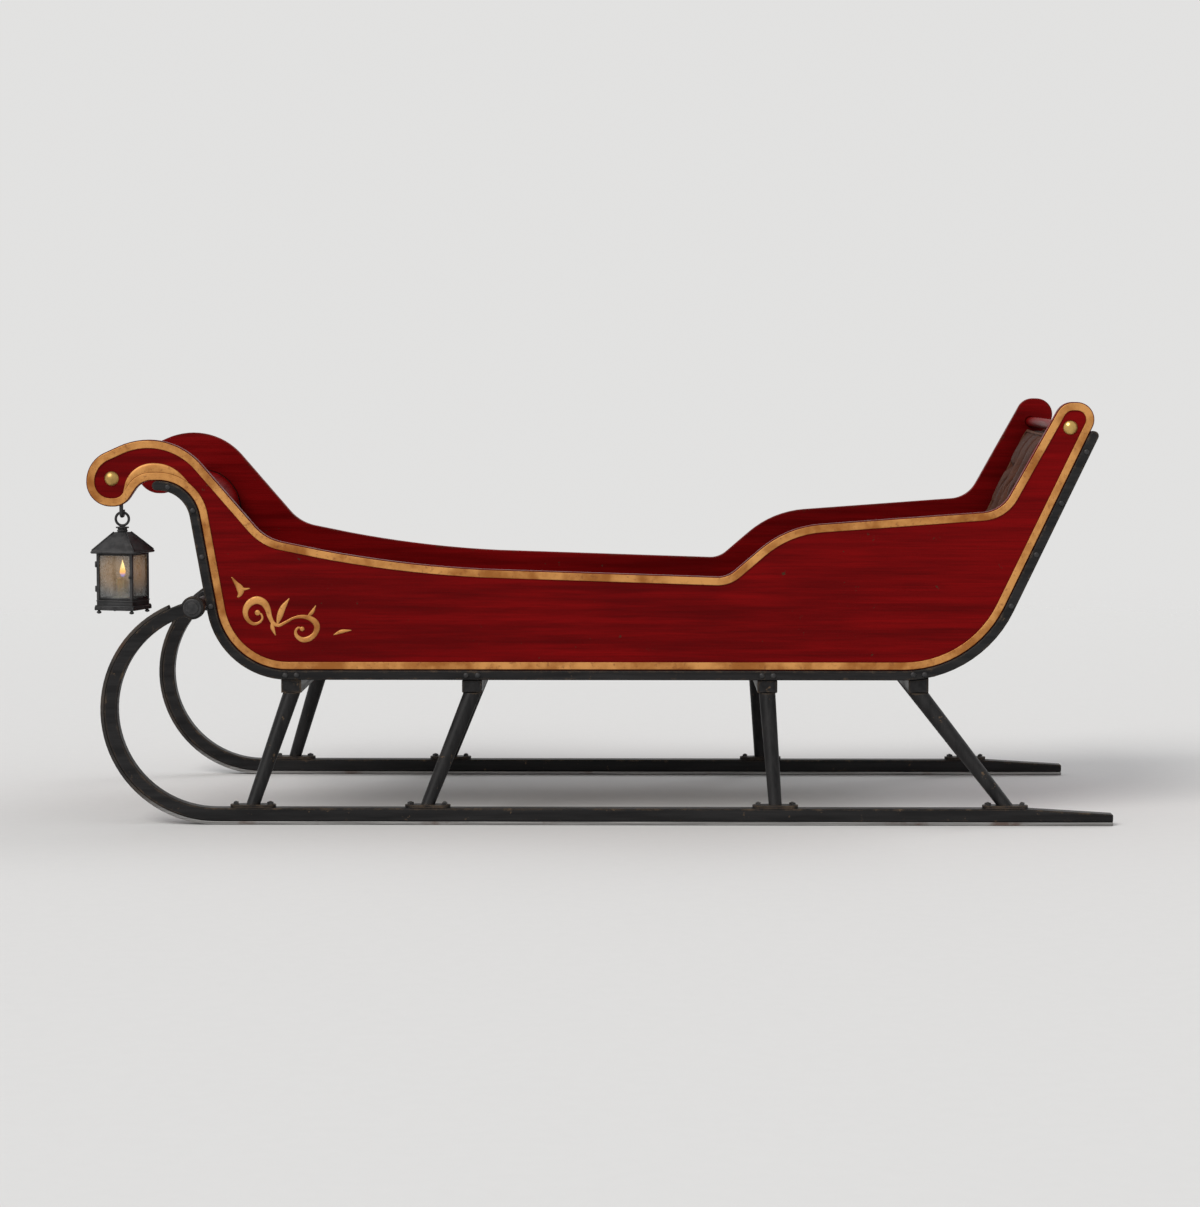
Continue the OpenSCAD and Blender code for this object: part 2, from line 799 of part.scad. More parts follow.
side_panel(true);  // side_panel_left
side_panel(false);  // side_panel_right
edge_bead(true);  // edge_bead_left
edge_bead(false);  // edge_bead_right
sill(true);  // sill_left
sill(false);  // sill_right
floor_boards();
dash_board();
back_board();
seat_riser();
seat_board();
seat_cushion();
back_cushion();
dash_rod();
back_rail();
rod_caps();
bench(0);  // bench_1
bench(1);  // bench_2
bench(2);  // bench_3
bench(3);  // bench_4
leg(0, true);  // leg_left_1
leg(1, true);  // leg_left_2
leg(2, true);  // leg_left_3
leg(3, true);  // leg_left_4
leg(0, false);  // leg_right_1
leg(1, false);  // leg_right_2
leg(2, false);  // leg_right_3
leg(3, false);  // leg_right_4
runner(true);  // runner_left
runner(false);  // runner_right
shoe(true);  // shoe_left
shoe(false);  // shoe_right
nose_bar();
nose_brackets();
lantern_hook();
lantern_base();
lantern_posts();
lantern_glass();
lantern_roof();
lantern_cap();
lantern_candle();
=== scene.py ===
"""The looks of an open sleigh: painted boards, bent runners, a buttoned seat and a hung lantern."""

import math

import bmesh
import bpy
import numpy as np
from mathutils import Matrix, Vector


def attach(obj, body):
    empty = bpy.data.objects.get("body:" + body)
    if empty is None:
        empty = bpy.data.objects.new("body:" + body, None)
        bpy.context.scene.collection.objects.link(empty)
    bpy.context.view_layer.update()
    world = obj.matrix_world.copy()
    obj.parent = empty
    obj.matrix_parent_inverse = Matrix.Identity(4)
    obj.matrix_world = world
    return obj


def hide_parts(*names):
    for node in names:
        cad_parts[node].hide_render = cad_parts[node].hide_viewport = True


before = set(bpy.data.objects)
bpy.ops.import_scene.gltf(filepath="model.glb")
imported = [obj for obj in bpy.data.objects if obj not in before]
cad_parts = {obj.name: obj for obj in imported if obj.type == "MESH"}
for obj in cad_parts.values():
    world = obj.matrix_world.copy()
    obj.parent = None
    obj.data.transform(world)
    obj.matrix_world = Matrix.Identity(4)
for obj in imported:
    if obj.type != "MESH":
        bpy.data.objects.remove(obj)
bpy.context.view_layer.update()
scene = bpy.context.scene
MM = 0.001
X, Y, Z = 0, 1, 2
UP = (0, 0, 1)

# Camera, at the viewpoint of the picture with a tighter crop, in metres

CAMERA_AT = Vector((-0.092, 8.05, 1.05))
LOOK_AT = Vector((0.0, 0.0, 0.47))
camera_data = bpy.data.cameras.new("camera")
camera_data.sensor_width = 36
camera_data.lens = 100
camera = bpy.data.objects.new("camera", camera_data)
camera.location = CAMERA_AT
camera.rotation_euler = (LOOK_AT - CAMERA_AT).to_track_quat("-Z", "Y").to_euler()
scene.collection.objects.link(camera)
scene.camera = camera

# Sizes and places of the solids, read from the CAD pieces, in mm


def points_of(name):
    """The points of a CAD piece's mesh."""
    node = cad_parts[name]
    return np.array([node.matrix_world @ v.co for v in node.data.vertices]) / MM


def box(points):
    """The lowest and the highest corner of some points, to a tenth of a mm."""
    return np.round(points.min(axis=0), 1).tolist(), np.round(points.max(axis=0), 1).tolist()


def box_of(name):
    return box(points_of(name))


def middle(corners, axis):
    """The middle of a box along one axis."""
    return (corners[0][axis] + corners[1][axis]) / 2


def foot_x(name):
    """The middle of a leg's foot plate, which is the leg's lowest face."""
    points = points_of(name)
    return middle(box(points[points[:, Z] < points[:, Z].min() + 0.1]), X)


SIDES = (("left", 1), ("right", -1))
# Cross beams and legs are numbered from the front
NUMBERS = (1, 2, 3, 4)
floor_box = box_of("floor_boards")
FLOOR_LOW, FLOOR_Z = floor_box[0][Z], floor_box[1][Z]
FLOOR_HALF_W = floor_box[1][Y]
BOARD_T = FLOOR_Z - FLOOR_LOW
PANEL_OUT = box_of("side_panel_left")[1][Y]
sill_box = box_of("sill_left")
SILL_OUT = sill_box[1][Y]
SILL_T = FLOOR_Z - sill_box[0][Z]
RISER_X = box_of("seat_riser")[1][X]
seat_box = box_of("seat_cushion")
back_box = box_of("back_cushion")
BENCH_X = [middle(box_of(f"bench_{i}"), X) for i in NUMBERS]
FOOT_X = [foot_x(f"leg_left_{i}") for i in NUMBERS]
runner_box = box_of("runner_left")
RUNNER_Y, RUNNER_OUT = middle(runner_box, Y), runner_box[1][Y]
nose_box = box_of("nose_bar")
NOSE_X, NOSE_Z = middle(nose_box, X), middle(nose_box, Z)
candle_box = box_of("lantern_candle")
LANTERN_X, LANTERN_Y = middle(candle_box, X), middle(candle_box, Y)
CANDLE_TOP = candle_box[1][Z]
BASE_LOW, BASE_TOP = (corner[Z] for corner in box_of("lantern_base"))
POST_TOP, ROOF_TOP = (corner[Z] for corner in box_of("lantern_roof"))

# Sizes that the solids were drawn with and no box shows, in mm

# Thickness of a leg's foot plate, of the roof's eaves and of the base's plinth
FOOT_T = 7
EAVE_T = 6
PLINTH_T = 8
FOOT_TOP = box_of("leg_left_1")[0][Z] + FOOT_T
EAVE_Z = POST_TOP + EAVE_T
PLINTH_TOP = BASE_LOW + PLINTH_T
# Distance of the gold bead's inner edge from a panel's edge
BEAD_IN = 19
# Floor boards, and the gap between two of them
BOARDS = 5
BOARD_GAP = 3
# Foot of the back's inner face, and its lean
BACK_X = -860
BACK_RAKE = math.radians(25.5)
# Turn of the lantern round its upright middle line
LANTERN_TURN = math.radians(-17)
# Bends of the dash, the back and the scroll's throat, as corners of (x, height above the floor, radius)
DASH_BENDS = ((708.5, 0, 0), (849, 0, 165), (925.5, 434, 95), (1008.2, 434, 0))
BACK_BENDS = ((-1118.6, 542, 0), (BACK_X, 0, 255), (-697.1, 0, 0))
THROAT_BENDS = ((904.5, 315, 0), (925.5, 434, 95), (1044, 434, 45), (1084, 375, 0))

# Heights between which the wax takes painted light and the flame changes colour, and the middle of the
# painted light on the panes, in metres

WAX_GLOW_LOW, WAX_GLOW_HIGH = (CANDLE_TOP - 34.5) * MM, (CANDLE_TOP + 1.5) * MM
FLAME_LOW, FLAME_HIGH = (CANDLE_TOP + 2.5) * MM, (CANDLE_TOP + 42.5) * MM
FLAME_AT = (LANTERN_X * MM, LANTERN_Y * MM, (CANDLE_TOP + 17.5) * MM)

# Materials


class Look:
    """One procedural material: a Principled shader and short ways to add the nodes that feed it."""

    def __init__(self, name, **constants):
        self.material = bpy.data.materials.new(name)
        self.material.use_nodes = True
        self.tree = self.material.node_tree
        self.tree.nodes.clear()
        self.shader = self.node("ShaderNodeBsdfPrincipled")
        out = self.node("ShaderNodeOutputMaterial")
        self.tree.links.new(self.shader.outputs[0], out.inputs["Surface"])
        self.place = self.node("ShaderNodeTexCoord").outputs["Object"]
        for key, value in constants.items():
            self.shader.inputs[key.replace("_", " ")].default_value = value

    def node(self, kind, inputs=(), **settings):
        made = self.tree.nodes.new(kind)
        for key, value in settings.items():
            setattr(made, key, value)
        for key, value in dict(inputs).items():
            self.feed(made.inputs[key], value)
        return made

    def feed(self, socket, value):
        if isinstance(value, bpy.types.NodeSocket):
            self.tree.links.new(value, socket)
        else:
            socket.default_value = value

    def stretched(self, scale):
        """The object's own coordinates, stretched so that a texture runs along one way."""
        return self.node("ShaderNodeMapping", {"Vector": self.place, "Scale": scale}).outputs[0]

    def warped(self, place, share, scale, detail):
        """A place, pushed about by a share of noise."""
        push = self.node("ShaderNodeTexNoise", {"Vector": self.place, "Scale": scale, "Detail": detail})
        mixed = self.node("ShaderNodeMix", {0: share, 4: place, 5: push.outputs["Color"]}, data_type="VECTOR")
        return mixed.outputs[1]

    def noise(self, scale, detail=3.0, roughness=0.55, place=None, distortion=0.0):
        return self.node("ShaderNodeTexNoise", {
            "Vector": place or self.place, "Scale": scale, "Detail": detail,
            "Roughness": roughness, "Distortion": distortion}).outputs["Fac"]

    def cells(self, scale, feature, place=None, smooth=None):
        inputs = {"Vector": place or self.place, "Scale": scale}
        if smooth is not None:
            inputs["Smoothness"] = smooth
        return self.node("ShaderNodeTexVoronoi", inputs, feature=feature).outputs["Distance"]

    def math(self, operation, a, b, clamp=False):
        made = self.node("ShaderNodeMath", operation=operation, use_clamp=clamp)
        self.feed(made.inputs[0], a)
        self.feed(made.inputs[1], b)
        return made.outputs[0]

    def span(self, value, low, high, to_low=0.0, to_high=1.0):
        """value between low and high, eased, as a number between to_low and to_high."""
        return self.node("ShaderNodeMapRange", {
            "Value": value, "From Min": low, "From Max": high, "To Min": to_low, "To Max": to_high},
            interpolation_type="SMOOTHSTEP").outputs[0]

    def mix(self, share, a, b):
        made = self.node("ShaderNodeMix", data_type="RGBA")
        self.feed(made.inputs[0], share)
        for socket, value in zip((made.inputs[6], made.inputs[7]), (a, b)):
            self.feed(socket, value if isinstance(value, bpy.types.NodeSocket) else (*value, 1.0))
        return made.outputs[2]

    def edges(self, radius):
        """0 on a flat face, rising towards 1 over a corner that is rounded by radius."""
        rounded = self.node("ShaderNodeBevel", {"Radius": radius}, samples=4).outputs[0]
        plain = self.node("ShaderNodeNewGeometry").outputs["Normal"]
        dot = self.node("ShaderNodeVectorMath", operation="DOT_PRODUCT")
        self.feed(dot.inputs[0], rounded)
        self.feed(dot.inputs[1], plain)
        return self.math("SUBTRACT", 1.0, dot.outputs["Value"], clamp=True)

    def open_air(self, distance):
        """1 in the open, falling towards 0 in a corner."""
        return self.node("ShaderNodeAmbientOcclusion", {"Distance": distance}, samples=6).outputs["AO"]

    def height(self):
        return self.node("ShaderNodeSeparateXYZ", {"Vector": self.place}).outputs["Z"]

    def bump(self, height, distance, strength, over=None):
        inputs = {"Height": height, "Distance": distance, "Strength": strength}
        if over is not None:
            inputs["Normal"] = over
        return self.node("ShaderNodeBump", inputs).outputs[0]

    def finish(self, colour, roughness, normal=None, **more):
        self.feed(self.shader.inputs["Base Color"], colour)
        self.feed(self.shader.inputs["Roughness"], roughness)
        if normal is not None:
            self.feed(self.shader.inputs["Normal"], normal)
        for key, value in more.items():
            self.feed(self.shader.inputs[key], value)
        return self.material


def painted(name, tones, grain, wear, dull, specular):
    """Brushed paint over wood: streaks along the grain, thin places, worn corners and painted shade in the
    corners.
    grain holds the scale of the streaks along x, y and z, which is small along the grain."""
    dark, light, wood = tones
    look = Look(name, Specular_IOR_Level=specular)
    finer = [c * (3.0 if c < 10 else 7.0) for c in grain]
    streaks = look.noise(1.0, detail=5.0, roughness=0.62, place=look.stretched(grain))
    hairs = look.noise(1.0, detail=3.0, roughness=0.6, place=look.stretched(finer))
    clouds = look.noise(2.1, detail=2.0)
    fine = look.noise(170.0, detail=2.0)
    air = look.open_air(0.05)
    brushed = look.math("ADD", look.math("MULTIPLY", streaks, 0.72), look.math("MULTIPLY", clouds, 0.28))
    colour = look.mix(look.span(brushed, 0.34, 0.66), dark, light)
    colour = look.mix(look.span(hairs, 0.44, 0.72, 0.0, 0.34), colour, [c * 0.6 for c in dark])
    corner = look.math("MULTIPLY", look.edges(0.010), look.span(air, 0.55, 0.8))
    flakes = look.noise(44.0, detail=6.0, roughness=0.7)
    flakes = look.math("ADD", flakes, look.math("MULTIPLY", corner, 0.8))
    bare = look.span(flakes, 0.80 - 0.14 * wear, 0.83 - 0.14 * wear)
    colour = look.mix(bare, colour, wood)
    # Painted shade: the paint is darkened in corners and hollows by an occlusion mask
    colour = look.mix(look.span(air, 0.25, 0.9, 0.55, 0.0), colour, [c * 0.3 for c in dark])
    rough = look.span(brushed, 0.35, 0.65, dull - 0.08, dull + 0.10)
    rough = look.math("ADD", rough, look.math("MULTIPLY", bare, 0.25))
    normal = look.bump(hairs, 0.0006, 0.45, look.bump(streaks, 0.0009, 0.4))
    normal = look.bump(fine, 0.0003, 0.3, normal)
    normal = look.bump(look.math("SUBTRACT", 1.0, bare), 0.0005, 0.6, normal)
    return look.finish(colour, rough, normal)


def grain_along(axis, along, across):
    return [along if k == axis else across for k in (X, Y, Z)]


def red_look(name, axis):
    tones = (0.100, 0.0008, 0.0014), (0.205, 0.0020, 0.0026), (0.060, 0.028, 0.015)
    return painted(name, tones, grain_along(axis, 2.2, 40.0), wear=0.9, dull=0.36, specular=0.05)


def black_look(name, axis):
    tones = (0.0085, 0.0083, 0.0087), (0.023, 0.0222, 0.0225), (0.105, 0.072, 0.046)
    return painted(name, tones, grain_along(axis, 4.0, 55.0), wear=1.1, dull=0.46, specular=0.14)


def gold_look():
    look = Look("gold_paint", Metallic=0.45, Specular_IOR_Level=0.4)
    old, bright = (0.35, 0.118, 0.018), (0.67, 0.315, 0.090)
    flecks, painted_shade = (0.20, 0.060, 0.018), (0.10, 0.030, 0.012)
    clouds, fine = look.noise(16.0, detail=4.0), look.noise(120.0, detail=3.0)
    air = look.open_air(0.02)
    colour = look.mix(look.span(clouds, 0.33, 0.67), old, bright)
    colour = look.mix(look.span(fine, 0.56, 0.74, 0.0, 0.55), colour, flecks)
    # Painted shade: the gold is darkened in corners and hollows by an occlusion mask
    colour = look.mix(look.span(air, 0.35, 0.85, 0.6, 0.0), colour, painted_shade)
    rough = look.span(clouds, 0.3, 0.7, 0.32, 0.50)
    return look.finish(colour, rough, look.bump(fine, 0.0004, 0.5))


def iron_look():
    """Hammered iron: bare on worn corners, rusty where grime stays."""
    look = Look("black_iron", Specular_IOR_Level=0.45, Metallic=0.35)
    dark, light = (0.020, 0.020, 0.021), (0.042, 0.041, 0.042)
    bare, rust = (0.13, 0.115, 0.10), (0.095, 0.034, 0.014)
    hammered, fine = look.noise(55.0, detail=3.0), look.noise(240.0, detail=3.0)
    air = look.open_air(0.03)
    colour = look.mix(look.span(hammered, 0.35, 0.65), dark, light)
    worn = look.math("MULTIPLY", look.edges(0.004), look.span(fine, 0.42, 0.6), clamp=True)
    colour = look.mix(look.span(worn, 0.05, 0.3), colour, bare)
    spots = look.span(look.noise(19.0, detail=6.0, roughness=0.68), 0.60, 0.74)
    rusty = look.math("MULTIPLY", spots, look.span(air, 0.95, 0.55))
    colour = look.mix(look.math("MULTIPLY", rusty, 0.8), colour, rust)
    rough = look.span(hammered, 0.3, 0.7, 0.38, 0.58)
    normal = look.bump(fine, 0.0003, 0.4, look.bump(hammered, 0.0012, 0.5))
    return look.finish(colour, rough, normal)


def steel_look():
    """A shoe that is rubbed bright along its length below, and dark and rusty above."""
    look = Look("steel_shoe", Metallic=0.9)
    dull, bright = (0.20, 0.195, 0.19), (0.40, 0.395, 0.385)
    dark, brown = (0.040, 0.038, 0.037), (0.085, 0.072, 0.062)
    rust = (0.095, 0.040, 0.020)
    drag = look.noise(1.0, detail=5.0, roughness=0.65, place=look.stretched((5.0, 420.0, 420.0)))
    patches = look.noise(9.0, detail=5.0, roughness=0.6)
    colour = look.mix(look.span(drag, 0.35, 0.7), dull, bright)
    ragged = look.math("ADD", look.height(), look.math("MULTIPLY", patches, 0.05))
    above = look.span(ragged, 0.035, 0.11)
    colour = look.mix(above, colour, look.mix(look.span(patches, 0.38, 0.62), dark, brown))
    rusty = look.span(patches, 0.54, 0.72)
    colour = look.mix(look.math("MULTIPLY", rusty, 0.7), colour, rust)
    rough = look.math("ADD", look.span(drag, 0.3, 0.7, 0.30, 0.48), look.math("MULTIPLY", above, 0.20))
    return look.finish(colour, rough, look.bump(drag, 0.0004, 0.5))


def brass_look():
    look = Look("brass", Metallic=1.0)
    bright, dull, painted_shade = (0.62, 0.40, 0.13), (0.33, 0.20, 0.07), (0.07, 0.045, 0.018)
    tarnish, fine = look.noise(14.0, detail=5.0, roughness=0.62), look.noise(260.0, detail=3.0)
    air = look.open_air(0.02)
    colour = look.mix(look.span(tarnish, 0.38, 0.68), bright, dull)
    # Painted shade: the brass is darkened in corners and hollows by an occlusion mask
    colour = look.mix(look.span(air, 0.4, 0.9, 0.75, 0.0), colour, painted_shade)
    rough = look.math("ADD", look.span(tarnish, 0.35, 0.7, 0.20, 0.42), look.math("MULTIPLY", fine, 0.08))
    return look.finish(colour, rough, look.bump(fine, 0.0002, 0.35))


def leather_look():
    """Creased hide: rubbed pale where it stands out, with painted shade in its pleats."""
    look = Look("leather", Specular_IOR_Level=0.15)
    dark, light = (0.050, 0.0165, 0.0095), (0.092, 0.033, 0.0175)
    creased, pale, painted_shade = (0.026, 0.009, 0.006), (0.17, 0.075, 0.040), (0.014, 0.006, 0.004)
    grain = look.cells(210.0, "SMOOTH_F1", smooth=0.35)
    creases = look.cells(78.0, "DISTANCE_TO_EDGE", look.warped(look.place, 0.035, scale=24.0, detail=3.0))
    clouds = look.noise(7.0, detail=4.0)
    air = look.open_air(0.035)
    convex = look.node("ShaderNodeNewGeometry").outputs["Pointiness"]
    colour = look.mix(look.span(clouds, 0.3, 0.72), dark, light)
    colour = look.mix(look.span(creases, 0.0, 0.09, 0.5, 0.0), colour, creased)
    patches = look.span(look.noise(42.0, detail=4.0), 0.35, 0.65)
    rubbed = look.math("MULTIPLY", look.span(convex, 0.515, 0.56), patches)
    colour = look.mix(look.math("MULTIPLY", rubbed, 0.55), colour, pale)
    # Painted shade: the leather is darkened in pleats and round buttons by an occlusion mask
    colour = look.mix(look.span(air, 0.25, 0.9, 0.7, 0.0), colour, painted_shade)
    rough = look.math("ADD", look.span(clouds, 0.3, 0.7, 0.60, 0.74), look.math("MULTIPLY", grain, 0.10))
    normal = look.bump(look.span(creases, 0.0, 0.10), 0.0006, 0.55)
    normal = look.bump(grain, 0.0007, 0.45, normal)
    return look.finish(colour, rough, normal)


def glass_look():
    """Old panes: smoke and dust on them, and the candle's light painted on where it stands behind."""
    look = Look("lantern_glass", Specular_IOR_Level=0.6, IOR=1.5, Emission_Strength=0.8)
    clean, dusty, painted_glow_tone = (0.11, 0.113, 0.11), (0.27, 0.27, 0.255), (0.42, 0.25, 0.09)
    unlit, lit = (0.0, 0.0, 0.0), (0.105, 0.054, 0.014)
    dust, wave = look.noise(34.0, detail=5.0, roughness=0.62), look.noise(26.0, detail=1.0)
    air = look.open_air(0.02)
    away = look.node("ShaderNodeVectorMath", {0: look.place, 1: FLAME_AT}, operation="DISTANCE")
    glow = look.span(away.outputs["Value"], 0.040, 0.074, 1.0, 0.0)
    colour = look.mix(look.span(dust, 0.35, 0.7), clean, dusty)
    # Painted light: the panes are tinted amber round the candle's flame
    colour = look.mix(look.math("MULTIPLY", glow, 0.35), colour, painted_glow_tone)
    alpha = look.math("ADD", look.span(dust, 0.35, 0.75, 0.27, 0.47), look.span(air, 0.3, 0.8, 0.3, 0.0))
    # Painted light: the panes give off light by emission round the flame, though they are no lamp
    look.feed(look.shader.inputs["Emission Color"], look.mix(glow, unlit, lit))
    rough = look.span(dust, 0.3, 0.7, 0.06, 0.24)
    return look.finish(colour, rough, look.bump(wave, 0.0015, 0.3), Alpha=alpha)


def wax_look():
    look = Look("wax", Subsurface_Weight=0.35, Subsurface_Scale=0.01, Specular_IOR_Level=0.35)
    dark, light, lit = (0.72, 0.60, 0.36), (0.83, 0.73, 0.50), (0.95, 0.66, 0.26)
    mottle = look.noise(90.0, detail=3.0)
    colour = look.mix(look.span(mottle, 0.3, 0.7), dark, light)
    # Painted light: the wax turns paler and warmer towards its top, as if lit by the flame
    colour = look.mix(look.span(look.height(), WAX_GLOW_LOW, WAX_GLOW_HIGH, 0.0, 0.75), colour, lit)
    return look.finish(colour, look.span(mottle, 0.3, 0.7, 0.34, 0.5), look.bump(mottle, 0.0005, 0.5))


def wood_look():
    """Trodden boards: long grain, painted shade at the edges, paler where boots have rubbed."""
    look = Look("floor_wood", Specular_IOR_Level=0.25)
    dark, light = (0.075, 0.038, 0.018), (0.205, 0.120, 0.062)
    deep, pale, painted_shade = (0.045, 0.023, 0.012), (0.26, 0.175, 0.105), (0.030, 0.017, 0.010)
    bent = look.warped(look.stretched((1.6, 26.0, 26.0)), 0.02, scale=5.0, detail=2.0)
    grain = look.noise(1.0, detail=6.0, roughness=0.68, place=bent, distortion=0.8)
    pores = look.noise(1.0, detail=3.0, roughness=0.6, place=look.stretched((9.0, 260.0, 260.0)))
    trod, air = look.noise(4.5, detail=4.0), look.open_air(0.05)
    colour = look.mix(look.span(grain, 0.32, 0.68), dark, light)
    colour = look.mix(look.span(pores, 0.56, 0.72, 0.0, 0.6), colour, deep)
    colour = look.mix(look.span(trod, 0.45, 0.75, 0.0, 0.45), colour, pale)
    # Painted shade: the boards are darkened at their edges and in corners by an occlusion mask
    colour = look.mix(look.span(air, 0.25, 0.9, 0.7, 0.0), colour, painted_shade)
    normal = look.bump(pores, 0.0005, 0.5, look.bump(grain, 0.0009, 0.5))
    return look.finish(colour, look.span(trod, 0.3, 0.7, 0.52, 0.70), normal)


def flame_look():
    """A candle flame: blue at the wick, amber in the body, pale at the tip."""
    look = Look("flame", Emission_Strength=4.5)
    blue, amber, pale = (0.10, 0.12, 0.45), (1.0, 0.42, 0.06), (1.0, 0.72, 0.28)
    up = look.span(look.height(), FLAME_LOW, FLAME_HIGH)
    colour = look.mix(look.span(up, 0.0, 0.22), blue, amber)
    colour = look.mix(look.span(up, 0.2, 0.75), colour, pale)
    look.feed(look.shader.inputs["Emission Color"], colour)
    return look.finish(colour, 0.6)


LOOKS = {
    "red_paint": red_look("red_paint", X),
    "black_paint": black_look("black_paint", X),
    "floor_wood": wood_look(),
    "gold_paint": gold_look(),
    "black_iron": iron_look(),
    "steel_shoe": steel_look(),
    "brass": brass_look(),
    "leather": leather_look(),
    "lantern_glass": glass_look(),
    "wax": wax_look(),
}
# Boards and beams across the sleigh, and legs, have their grain along themselves
red_across = red_look("red_paint_across", Y)
black_across = black_look("black_paint_across", Y)
black_upright = black_look("black_paint_upright", Z)
RED_ACROSS = ("dash_board", "back_board", "seat_riser", "seat_board", "back_rail")
GRAIN = {name: red_across for name in RED_ACROSS}
GRAIN.update({f"bench_{i}": black_across for i in NUMBERS})
GRAIN.update({f"leg_{side}_{i}": black_upright for side, _ in SIDES for i in NUMBERS})

# The CAD pieces: their looks and their rounded corners

# How far each kind of corner is rounded, in mm
ROUNDING = {"red_paint": 2.5, "gold_paint": 2.6, "black_paint": 3.0, "black_iron": 1.2, "steel_shoe": 1.5,
            "brass": 1.5, "lantern_glass": 0.4, "wax": 1.5, "leather": 4.0, "floor_wood": 2.0}
ROUNDING_STEPS = 3
# Points nearer than this are one, in mm
WELD_WITHIN = 0.02
# Faces that turn less than this are one, and edges that turn more than this are rounded, in degrees
FLAT_TURN = 0.6
EDGE_TURN = 34
# Fine turned and bent iron, which keeps its corners
FINE = ("lantern_cap", "lantern_hook")

for name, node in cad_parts.items():
    mesh = node.data
    kind = mesh.materials[0].name
    for attribute in ("custom_normal", "sharp_edge", "sharp_face"):
        if attribute in mesh.attributes:
            mesh.attributes.remove(mesh.attributes[attribute])
    mesh.materials[0] = GRAIN.get(name, LOOKS[kind])
    weld = node.modifiers.new("weld", "WELD")
    weld.merge_threshold = WELD_WITHIN * MM
    if name not in FINE:
        flat = node.modifiers.new("flat", "DECIMATE")
        flat.decimate_type = "DISSOLVE"
        flat.angle_limit = math.radians(FLAT_TURN)
        soft = node.modifiers.new("soft", "BEVEL")
        soft.width = ROUNDING[kind] * MM
        soft.segments = ROUNDING_STEPS
        soft.limit_method = "ANGLE"
        soft.angle_limit = math.radians(EDGE_TURN)
        soft.use_clamp_overlap = True
        soft.loop_slide = False
    even = node.modifiers.new("even", "WEIGHTED_NORMAL")
    even.keep_sharp = False

# Shapes for the added pieces

# Steps round a tube, and over a raised stroke
TUBE_STEPS = 8
STROKE_STEPS = 6
# Depth of a stroke's foot in the face below it, as a share of its height
STROKE_SUNK = 0.25
# Power of its width by which a stroke is lower where it is thin
STROKE_THINS = 0.6
# Largest angle of one step round a bend, in degrees
BEND_STEP = 3


def piece(name, shapes, slot, body="sleigh", look=None, smooth=True):
    """One object made of several (points, faces), which takes its finish from a slot and rides on a body."""
    points, faces = [], []
    for some_points, some_faces in shapes:
        faces += [[i + len(points) for i in face] for face in some_faces]
        points += [tuple(p) for p in some_points]
    mesh = bpy.data.meshes.new(name)
    mesh.from_pydata(points, [], faces)
    whole = bmesh.new()
    whole.from_mesh(mesh)
    bmesh.ops.recalc_face_normals(whole, faces=whole.faces)
    whole.to_mesh(mesh)
    whole.free()
    mesh.polygons.foreach_set("use_smooth", [smooth] * len(mesh.polygons))
    mesh.materials.append(look or LOOKS[slot])
    obj = bpy.data.objects.new(name, mesh)
    scene.collection.objects.link(obj)
    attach(obj, body)
    return obj


def rings_to_faces(rings, steps, closed=False):
    """Quads between rings of steps points each, with an end face on both ends unless the rings close up."""
    faces = []
    for i in range(rings if closed else rings - 1):
        a, b = i * steps, (i + 1) % rings * steps
        faces += [(a + k, a + (k + 1) % steps, b + (k + 1) % steps, b + k) for k in range(steps)]
    if not closed:
        faces += [tuple(range(steps)), tuple(range((rings - 1) * steps, rings * steps))]
    return faces


def turned(profile, at, axis, steps=20, spin=0.0):
    """A solid turned round an axis through at; profile holds (radius, distance along the axis), all in mm."""
    w = Vector(axis).normalized()
    u = (Vector(UP) if abs(w.z) < 0.9 else Vector((1, 0, 0))).cross(w).normalized()
    v = w.cross(u)
    angles = [spin + 2 * math.pi * k / steps for k in range(steps)]
    ways = [u * math.cos(a) + v * math.sin(a) for a in angles]
    points = [(Vector(at) + w * h + way * r) * MM for r, h in profile for way in ways]
    return points, rings_to_faces(len(profile), steps)


def smooth_line(knots, step):
    """A smooth line through knots of (x, y, width), with points about step apart."""
    knots = np.array(knots, float)
    ends = np.vstack([2 * knots[0] - knots[1], knots, 2 * knots[-1] - knots[-2]])
    line = []
    for p0, p1, p2, p3 in zip(ends, ends[1:], ends[2:], ends[3:]):
        n = max(2, int(np.linalg.norm((p2 - p1)[:2]) / step))
        t = np.linspace(0, 1, n, endpoint=False)[:, None]
        line.append(0.5 * (2 * p1 + (p2 - p0) * t + (2 * p0 - 5 * p1 + 4 * p2 - p3) * t ** 2
                           + (3 * p1 - p0 - 3 * p2 + p3) * t ** 3))
    return np.vstack(line + [knots[-1:]])


def stroke(line, rise, place, closed=False):
    """A raised half-round stroke along a flat line of (x, y, width), in mm.
    place turns (x, y, height) into a point."""
    line = np.array(line, float)
    if closed:
        along = np.roll(line[:, :2], -1, 0) - np.roll(line[:, :2], 1, 0)
    else:
        along = np.gradient(line[:, :2], axis=0)
    along /= np.linalg.norm(along, axis=1)[:, None]
    side = np.column_stack([-along[:, 1], along[:, 0]])
    widest = line[:, 2].max()
    section = [(math.cos(a), math.sin(a)) for a in np.linspace(0, math.pi, STROKE_STEPS + 1)]
    section += [(-1, -STROKE_SUNK), (1, -STROKE_SUNK)]
    points = []
    for (x, y, w), (sx, sy) in zip(line, side):
        high = rise * (w / widest) ** STROKE_THINS
        points += [Vector(place(x + sx * c * w / 2, y + sy * c * w / 2, high * h)) * MM for c, h in section]
    return points, rings_to_faces(len(line), len(section), closed)


